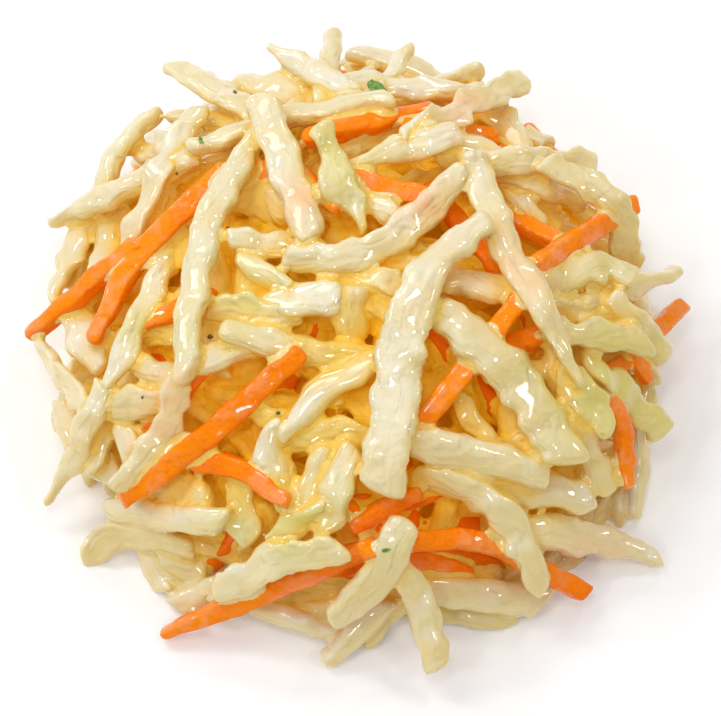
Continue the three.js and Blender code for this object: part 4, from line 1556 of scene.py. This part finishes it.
@dataclass(frozen=True)
class CabbageFinish:
    """Wet, creamy cabbage: pale, with painted golden shade where it is turned from the light or closed in
    by other shreds, and tinted with green or carrot.

    It mixes from warm to pale, with painted golden shade on what is turned from the light, which also
    darkens the fibres a little, a painted white highlight on the upper face turned to the light, painted
    orange-yellow and then the deepest golden shade where the shreds round it close it in, green and stain
    where it is tinted, and painted light given off, faint in the open and stronger in the gaps. Shine is
    how much wetter the wet patches are, and soft how much light scatters under the surface.
    """

    name: str
    pale: Colour = (0.84, 0.70, 0.34)
    warm: Colour = (0.80, 0.61, 0.22)
    # Golden colour of the painted shade on faces turned from the light, and of the darker fibres.
    grain_and_shade_gold: Colour = (0.85, 0.60, 0.15)
    # Painted highlight: the near white laid on the upper face that turns to the light.
    white: Colour = (0.83, 0.81, 0.72)
    # Painted shade: orange-yellow where the shreds round it close it in.
    painted_shade_amber: Colour = (0.86, 0.55, 0.07)
    green: Colour = (0.66, 0.57, 0.10)
    stain: Colour = (0.90, 0.45, 0.20)
    # Painted shade: the deepest golden orange, in the most closed-in gaps.
    painted_deep_shade: Colour = (0.93, 0.51, 0.01)
    # Painted light given off faintly in the open, standing in for light scattered through the shreds.
    painted_haze: Colour = (0.012, 0.008, 0.002)
    # Painted light given off more strongly in the closed-in gaps.
    painted_gap_glow: Colour = (0.05, 0.024, 0.0)
    to_light: Spot = (-0.3, -0.05, 0.95)
    to_crown: Spot = (-0.35, 0.05, 0.93)
    rim_levels: Pair = (0.002, 0.013)
    shine: float = 0.6
    soft: float = 0.15

    def material(self) -> bpy.types.Material:
        """Makes the material."""
        shader = Shader(self.name)
        place = shader.place()
        tone, green, stain, painted_shade_depth = shader.tone()
        # The painted shade is weakened near the floor: to about a third below 2 mm, and in full above 13 mm.
        level = shader.node("ShaderNodeSeparateXYZ", {0: place}, 2)
        painted_shade_depth = painted_shade_depth * (level.smooth(*self.rim_levels) * 0.65 + 0.35)
        broad = shader.noise(place, 170)
        patch = shader.noise(place, 420)
        fine = shader.noise(place, 1700)
        fibre = shader.noise(shader.along_grain((0.16, 1.1, 1)), 1, 1)
        wrinkle = shader.noise(shader.along_grain((0.3, 0.8, 1)), 1, 1, 0.5, 0.6)
        beads = shader.noise(place, 900, 1) * shader.noise(place, 240).smooth(0.45, 0.6)
        # How far each face turns to the light: the faces turned from it get painted golden shade.
        facing_light = shader.facing(self.to_light).smooth(-0.2, 0.85)
        # Painted highlight: the upper face turned to the light is whitened, less where it is closed in.
        lit_crown = shader.facing(self.to_crown).smooth(0.45, 1) * (1 - painted_shade_depth.smooth(0, 0.5))
        painted_highlight = (fibre * 0.4 + broad.smooth(0.35, 0.7) * 0.5 + 0.2) * lit_crown
        lime = green + (tone * -0.7 + 0.38).clamp() * broad.smooth(0.35, 0.65)
        juice = stain * (patch.smooth(0.25, 0.7) * 0.6 + 0.15)
        colour = shader.mix(((broad - 0.5) * 1.8 + tone * 0.7 + 0.1).clamp(), self.warm, self.pale)
        # Painted shade: golden colour on the faces turned from the light.
        colour = shader.mix(facing_light * -0.45 + 0.45, colour, self.grain_and_shade_gold)
        colour = shader.mix(fibre.smooth(0.3, 0.5) * -0.12 + 0.12, colour, self.grain_and_shade_gold)
        # Painted highlight: white on the lit upper face, varied with the fibres and the broad noise.
        colour = shader.mix(painted_highlight * 0.8, colour, self.white)
        colour = shader.mix((lime * (patch * 1.3 + 0.2)).clamp(), colour, self.green)
        colour = shader.mix(juice.clamp(), colour, self.stain)
        # Painted shade: orange-yellow and then the deepest golden orange where the skin is closed in.
        colour = shader.mix(painted_shade_depth.smooth(0, 0.4) * 0.9, colour, self.painted_shade_amber)
        colour = shader.mix(painted_shade_depth.smooth(0.35, 0.95) * 0.97, colour, self.painted_deep_shade)
        wet = (patch.smooth(0.35, 0.6) * self.shine + 0.6) * (1 - painted_shade_depth.smooth(0.2, 0.7))
        normal = shader.bump(wrinkle, 0.0009, 0.5)
        normal = shader.bump(fine, 0.00004, 0.3, normal)
        normal = shader.bump(beads, 0.0004, 0.6, normal)
        return shader.finish(
            Base_Color=colour,
            Roughness=(patch.smooth(0.3, 0.7) * 0.14 + fine * 0.06 + painted_shade_depth * 0.2 + 0.25).clamp(),
            IOR=1.35,
            Coat_Weight=wet.clamp(),
            Coat_Roughness=0.04,
            Coat_IOR=1.5,
            # Painted light given off, faint in the open and stronger in the gaps, in place of light scattered
            # through the shreds.
            Emission_Color=shader.mix(painted_shade_depth.smooth(0.1, 0.8), self.painted_haze, self.painted_gap_glow),
            Emission_Strength=1,
            Subsurface_Weight=self.soft,
            Subsurface_Radius=(1, 0.85, 0.6),
            Subsurface_Scale=MM,
            Normal=normal,
        )


@dataclass(frozen=True)
class CarrotFinish:
    """Wet carrot: bright orange, with painted light on the side facing the light and painted redder shade
    where other shreds close it in, a faint painted light given off all over, and a thin smear of dressing
    here and there.
    """

    name: str
    bright: Colour = (1.0, 0.245, 0.0)
    warm: Colour = (0.92, 0.165, 0.0)
    # Painted shade: redder orange where other shreds close it in.
    painted_deep_shade: Colour = (0.84, 0.12, 0.0)
    cream: Colour = (0.95, 0.48, 0.22)
    # Painted light: a faint orange light given off all over.
    painted_haze: Colour = (0.06, 0.012, 0.0)
    to_light: Spot = (-0.3, -0.05, 0.95)

    def material(self) -> bpy.types.Material:
        """Makes the material."""
        shader = Shader(self.name)
        place = shader.place()
        tone, _, _, painted_shade_depth = shader.tone()
        broad = shader.noise(place, 190)
        patch = shader.noise(place, 520, 3, 0.6)
        fibre = shader.noise(shader.along_grain((0.3, 2.6, 1)), 1, 2)
        fine = shader.noise(place, 1900)
        # How far each face turns to the light, which the painted light and the dressing smear follow.
        facing_light = shader.facing(self.to_light).smooth(0.2, 0.9)
        # Partly random tone and partly painted light: brighter orange on the side facing the light.
        colour = shader.mix(((broad - 0.5) * 2 + tone * 0.6 + facing_light * 0.4).clamp(), self.warm, self.bright)
        colour = shader.mix(fibre.smooth(0.5, 0.8) * 0.25, colour, self.bright)
        # Painted shade: redder where other shreds close it in.
        colour = shader.mix(painted_shade_depth.smooth(0.3, 1) * 0.85, colour, self.painted_deep_shade)
        wet = patch.smooth(0.4, 0.65) * shader.noise(place, 130).smooth(0.35, 0.55)
        open_air = 1 - painted_shade_depth.smooth(0.3, 0.8)
        colour = shader.mix((wet * facing_light * open_air * 0.25).clamp(), colour, self.cream)
        normal = shader.bump(fibre, 0.0002, 0.4)
        normal = shader.bump(patch, 0.0006, 0.6, normal)
        normal = shader.bump(shader.noise(place, 1000, 1), 0.0006, 0.6, normal)
        normal = shader.bump(fine, 0.00006, 0.4, normal)
        return shader.finish(
            Base_Color=colour,
            Roughness=(patch.smooth(0.3, 0.7) * 0.14 + fine * 0.06 + painted_shade_depth * 0.2 + 0.22).clamp(),
            IOR=1.15,
            Coat_Weight=((wet * 1.5 + 0.1) * open_air).clamp(),
            Coat_Roughness=0.04,
            Subsurface_Weight=0.1,
            Subsurface_Radius=(1, 0.35, 0.08),
            Subsurface_Scale=MM,
            # Painted light: a faint constant orange light given off.
            Emission_Color=self.painted_haze,
            Emission_Strength=1,
            Normal=normal,
        )


@dataclass(frozen=True)
class FleckFinish:
    """The rough, mottled surface of ground pepper or a scrap of herb."""

    name: str
    dark: Colour
    light: Colour

    def material(self) -> bpy.types.Material:
        """Makes the material."""
        shader = Shader(self.name)
        patch = shader.noise(shader.place(), 2600, 3, 0.6)
        return shader.finish(
            Base_Color=shader.mix(patch.smooth(0.35, 0.7), self.dark, self.light),
            Roughness=(patch * 0.4 + 0.3).clamp(),
            Coat_Weight=0.3,
            Coat_Roughness=0.1,
            Normal=shader.bump(patch, 0.0001, 0.7),
        )


@dataclass(frozen=True)
class FloorFinish:
    """Plain white floor with the faintest unevenness."""

    name: str
    white: Colour = (0.95, 0.95, 0.955)
    shade: Colour = (0.93, 0.93, 0.945)
    lit: Colour = (0.075, 0.082, 0.096)

    def material(self) -> bpy.types.Material:
        """Makes the material."""
        shader = Shader(self.name)
        patch = shader.noise(shader.place(), 30)
        return shader.finish(
            Base_Color=shader.mix(patch, self.white, self.shade),
            Roughness=patch * 0.1 + 0.55,
            Specular_IOR_Level=0.2,
            Emission_Color=self.lit,
            Emission_Strength=1,
        )


@dataclass(frozen=True)
class Studio:
    """The floor, the light and the camera. Metres and watts.

    The sparks are small lights all round, which glint in the wet dressing. Each is a turn on from the one
    before it, in radians, and hangs higher.
    """

    distance: float = 0.6
    nearest: float = 0.01
    gamma: float = 1.08
    sensor: float = 36
    seen_width: float = 0.0801
    seen_height: float = 0.015
    off_middle: float = 0.00028
    floor_half: float = 1.2
    floor_lines: int = 40
    floor_level: float = 0.7
    floor_rise: float = 0.15
    light_colour: Colour = (1.0, 0.985, 0.955)
    key_way: Spot = (-0.4, 0.32, 0.88)
    key_distance: float = 0.5
    key_size: float = 0.16
    key_power: float = 0.43
    fill_way: Spot = (-0.3, -0.1, 0.95)
    fill_distance: float = 0.6
    fill_size: float = 0.5
    fill_power: float = 0.44
    spark_count: int = 11
    spark_turn: float = 2.4
    spark_lowest: float = 0.4
    spark_spread: float = 0.56
    spark_shift: Pair = (-0.2, 0.15)
    spark_size: float = 0.06
    spark_power: float = 0.19
    sky: Colour = (0.96, 0.97, 1.0)
    sky_strength: float = 0.3

    def build(self) -> None:
        """Builds them all."""
        self.add_floor()
        self.add_light("key", self.key_way, self.key_distance, self.key_size, self.key_power)
        self.add_light("fill", self.fill_way, self.fill_distance, self.fill_size, self.fill_power)
        east, north = self.spark_shift
        for number in range(self.spark_count):
            turn = self.spark_turn * number
            rise = self.spark_lowest + self.spark_spread * (number + 0.5) / self.spark_count
            flat = math.sqrt(1 - rise * rise)
            way = (math.cos(turn) * flat + east, math.sin(turn) * flat + north, rise)
            self.add_light(f"spark_{number}", way, self.key_distance, self.spark_size, self.spark_power)
        self.add_sky()
        self.add_camera()

    def add_floor(self) -> None:
        """Lays the floor, with a gentle rise far behind the heap."""
        half = self.floor_half
        count = self.floor_lines
        runs = np.linspace(-half, half, count)
        grid_x, grid_y = np.meshgrid(runs, runs)
        behind = (grid_y / half - self.floor_level) / (1 - self.floor_level)
        places = np.stack((grid_x, grid_y, self.floor_rise * ease(behind) ** 2), axis=2).reshape(-1, 3)
        row, column = np.meshgrid(np.arange(count - 1), np.arange(count - 1), indexing="ij")
        corner = (row * count + column).ravel()
        faces = np.stack((corner, corner + 1, corner + count + 1, corner + count), axis=1)
        mesh = bpy.data.meshes.new("floor")
        mesh.from_pydata(places.tolist(), [], faces.tolist())
        mesh.materials.append(FloorFinish("floor_white").material())
        floor = bpy.data.objects.new("floor", mesh)
        bpy.context.scene.collection.objects.link(floor)

    def add_light(self, name: str, way: Spot, distance: float, size: float, power: float) -> None:
        """Hangs one soft round light that shines on the heap.

        Args:
            name: Its name.
            way: Where it hangs, seen from the heap.
            distance: How far off it is.
            size: How wide it is.
            power: How strong it is.
        """
        light = bpy.data.lights.new(name, "AREA")
        light.shape = "DISK"
        light.size = size
        light.energy = power
        light.color = self.light_colour
        lamp = bpy.data.objects.new(name, light)
        aim = Vector(way).normalized()
        lamp.location = aim * distance
        lamp.rotation_euler = aim.to_track_quat("Z", "Y").to_euler()
        bpy.context.scene.collection.objects.link(lamp)

    def add_sky(self) -> None:
        """Sets the even light from all round."""
        world = bpy.data.worlds.new("studio")
        world.use_nodes = True
        background = world.node_tree.nodes["Background"]
        background.inputs["Color"].default_value = (*self.sky, 1)
        background.inputs["Strength"].default_value = self.sky_strength
        bpy.context.scene.world = world

    def add_camera(self) -> None:
        """Sets the camera at the angle of the photo."""
        back = Vector(LOOK_BACK)
        data = bpy.data.cameras.new("photo_camera")
        data.sensor_width = self.sensor
        data.lens = self.sensor * (self.distance - self.seen_height) / self.seen_width
        data.clip_start = self.nearest
        camera = bpy.data.objects.new("photo_camera", data)
        aim = Vector((*BASE_MIDDLE, 0)) * MM + Vector((self.off_middle, 0, 0))
        turned = back.to_track_quat("Z", "Y").to_matrix().to_4x4()
        camera.matrix_world = Matrix.Translation(aim + back * self.distance) @ turned
        bpy.context.scene.collection.objects.link(camera)
        bpy.context.scene.camera = camera
        view = bpy.context.scene.view_settings
        view.view_transform = "Standard"
        view.gamma = self.gamma


@dataclass
class Coleslaw:
    """The whole heap: its core, its shreds, its dressing and its flecks."""

    heap: HeapLayout = field(default_factory=HeapLayout)
    pieces: list[bpy.types.Object] = field(default_factory=list)

    def build(self) -> None:
        """Builds every piece and gives it its finish."""
        first = self.lay()
        # The core wears the cabbage finish at full painted shade.
        self.keep(Core().build(self.heap), CabbageFinish("core_painted_shade", painted_deep_shade=(0.93, 0.48, 0.01)))
        self.dress_shreds(first)
        surface = Surface(self.pieces[1:])
        Shelter().write(self.heap, surface)
        self.keep(Film().build(self.heap, surface), CabbageFinish("dressing_cream", soft=0.0))
        pepper = FleckFinish("pepper_brown", (0.05, 0.035, 0.012), (0.24, 0.16, 0.05))
        herb = FleckFinish("herb_green", (0.06, 0.17, 0.01), (0.22, 0.40, 0.04))
        self.keep(Flecks("pepper_specks", PEPPER_SPOTS, 0.7, 0, 31).build(surface), pepper)
        self.keep(Flecks("herb_fleck", HERB_SPOTS, 0.12, 0.25, 32).build(surface), herb)

    def lay(self) -> int:
        """Lays the heap, and moves and recuts the few shreds that need it.

        Returns:
            The number of the first shred that shows.
        """
        self.heap.lay_all()
        first = len(self.heap.laid) - len(SHOWN)
        for row, push in PUSHES.items():
            self.heap.laid[first + row].points += LOOK_BACK * push
        for number, cut in RECUTS.items():
            self.heap.laid[number].cut = cut
        return first

    def dress_shreds(self, first: int) -> None:
        """Gives all the shreds their skins, with one piece for each cut.

        Args:
            first: The number of the first shred that shows.
        """
        kinds = {
            Cut.LEAF: ("cabbage_leaf_shreds", CabbageFinish("cabbage_leaf")),
            Cut.RIB: (
                "cabbage_rib_shreds",
                CabbageFinish("cabbage_rib", pale=(0.84, 0.72, 0.38), warm=(0.80, 0.62, 0.25)),
            ),
            Cut.GREEN: (
                "green_cabbage_shreds",
                CabbageFinish("cabbage_green", pale=(0.80, 0.69, 0.27), warm=(0.75, 0.60, 0.16)),
            ),
            Cut.CARROT: ("carrot_sticks", CarrotFinish("carrot_orange")),
        }
        skins = {cut: Skin() for cut in kinds}
        maker = ShredSkins(self.heap, {first + row: ends for row, ends in ENDS.items()})
        for number, shred in enumerate([*self.heap.laid, *Packing().lay(self.heap)]):
            maker.add(skins[shred.cut], shred, number)
        for cut, (name, finish) in kinds.items():
            self.keep(skins[cut].build(name), finish)

    def keep(self, piece: bpy.types.Object, finish: CabbageFinish | CarrotFinish | FleckFinish) -> None:
        """Takes a piece into the model.

        Args:
            piece: The piece.
            finish: Its finish.
        """
        piece.data.materials.append(finish.material())
        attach(piece, BODY)
        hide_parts(NODE)
        self.pieces.append(piece)
        LOG.info("%s: %d faces", piece.name, len(piece.data.polygons))


def main() -> None:
    """Builds the heap and the studio."""
    logging.basicConfig(level=logging.INFO, format="%(message)s")
    Studio().build()
    Coleslaw().build()
    bpy.context.view_layer.update()


if __name__ == "__main__":
    main()
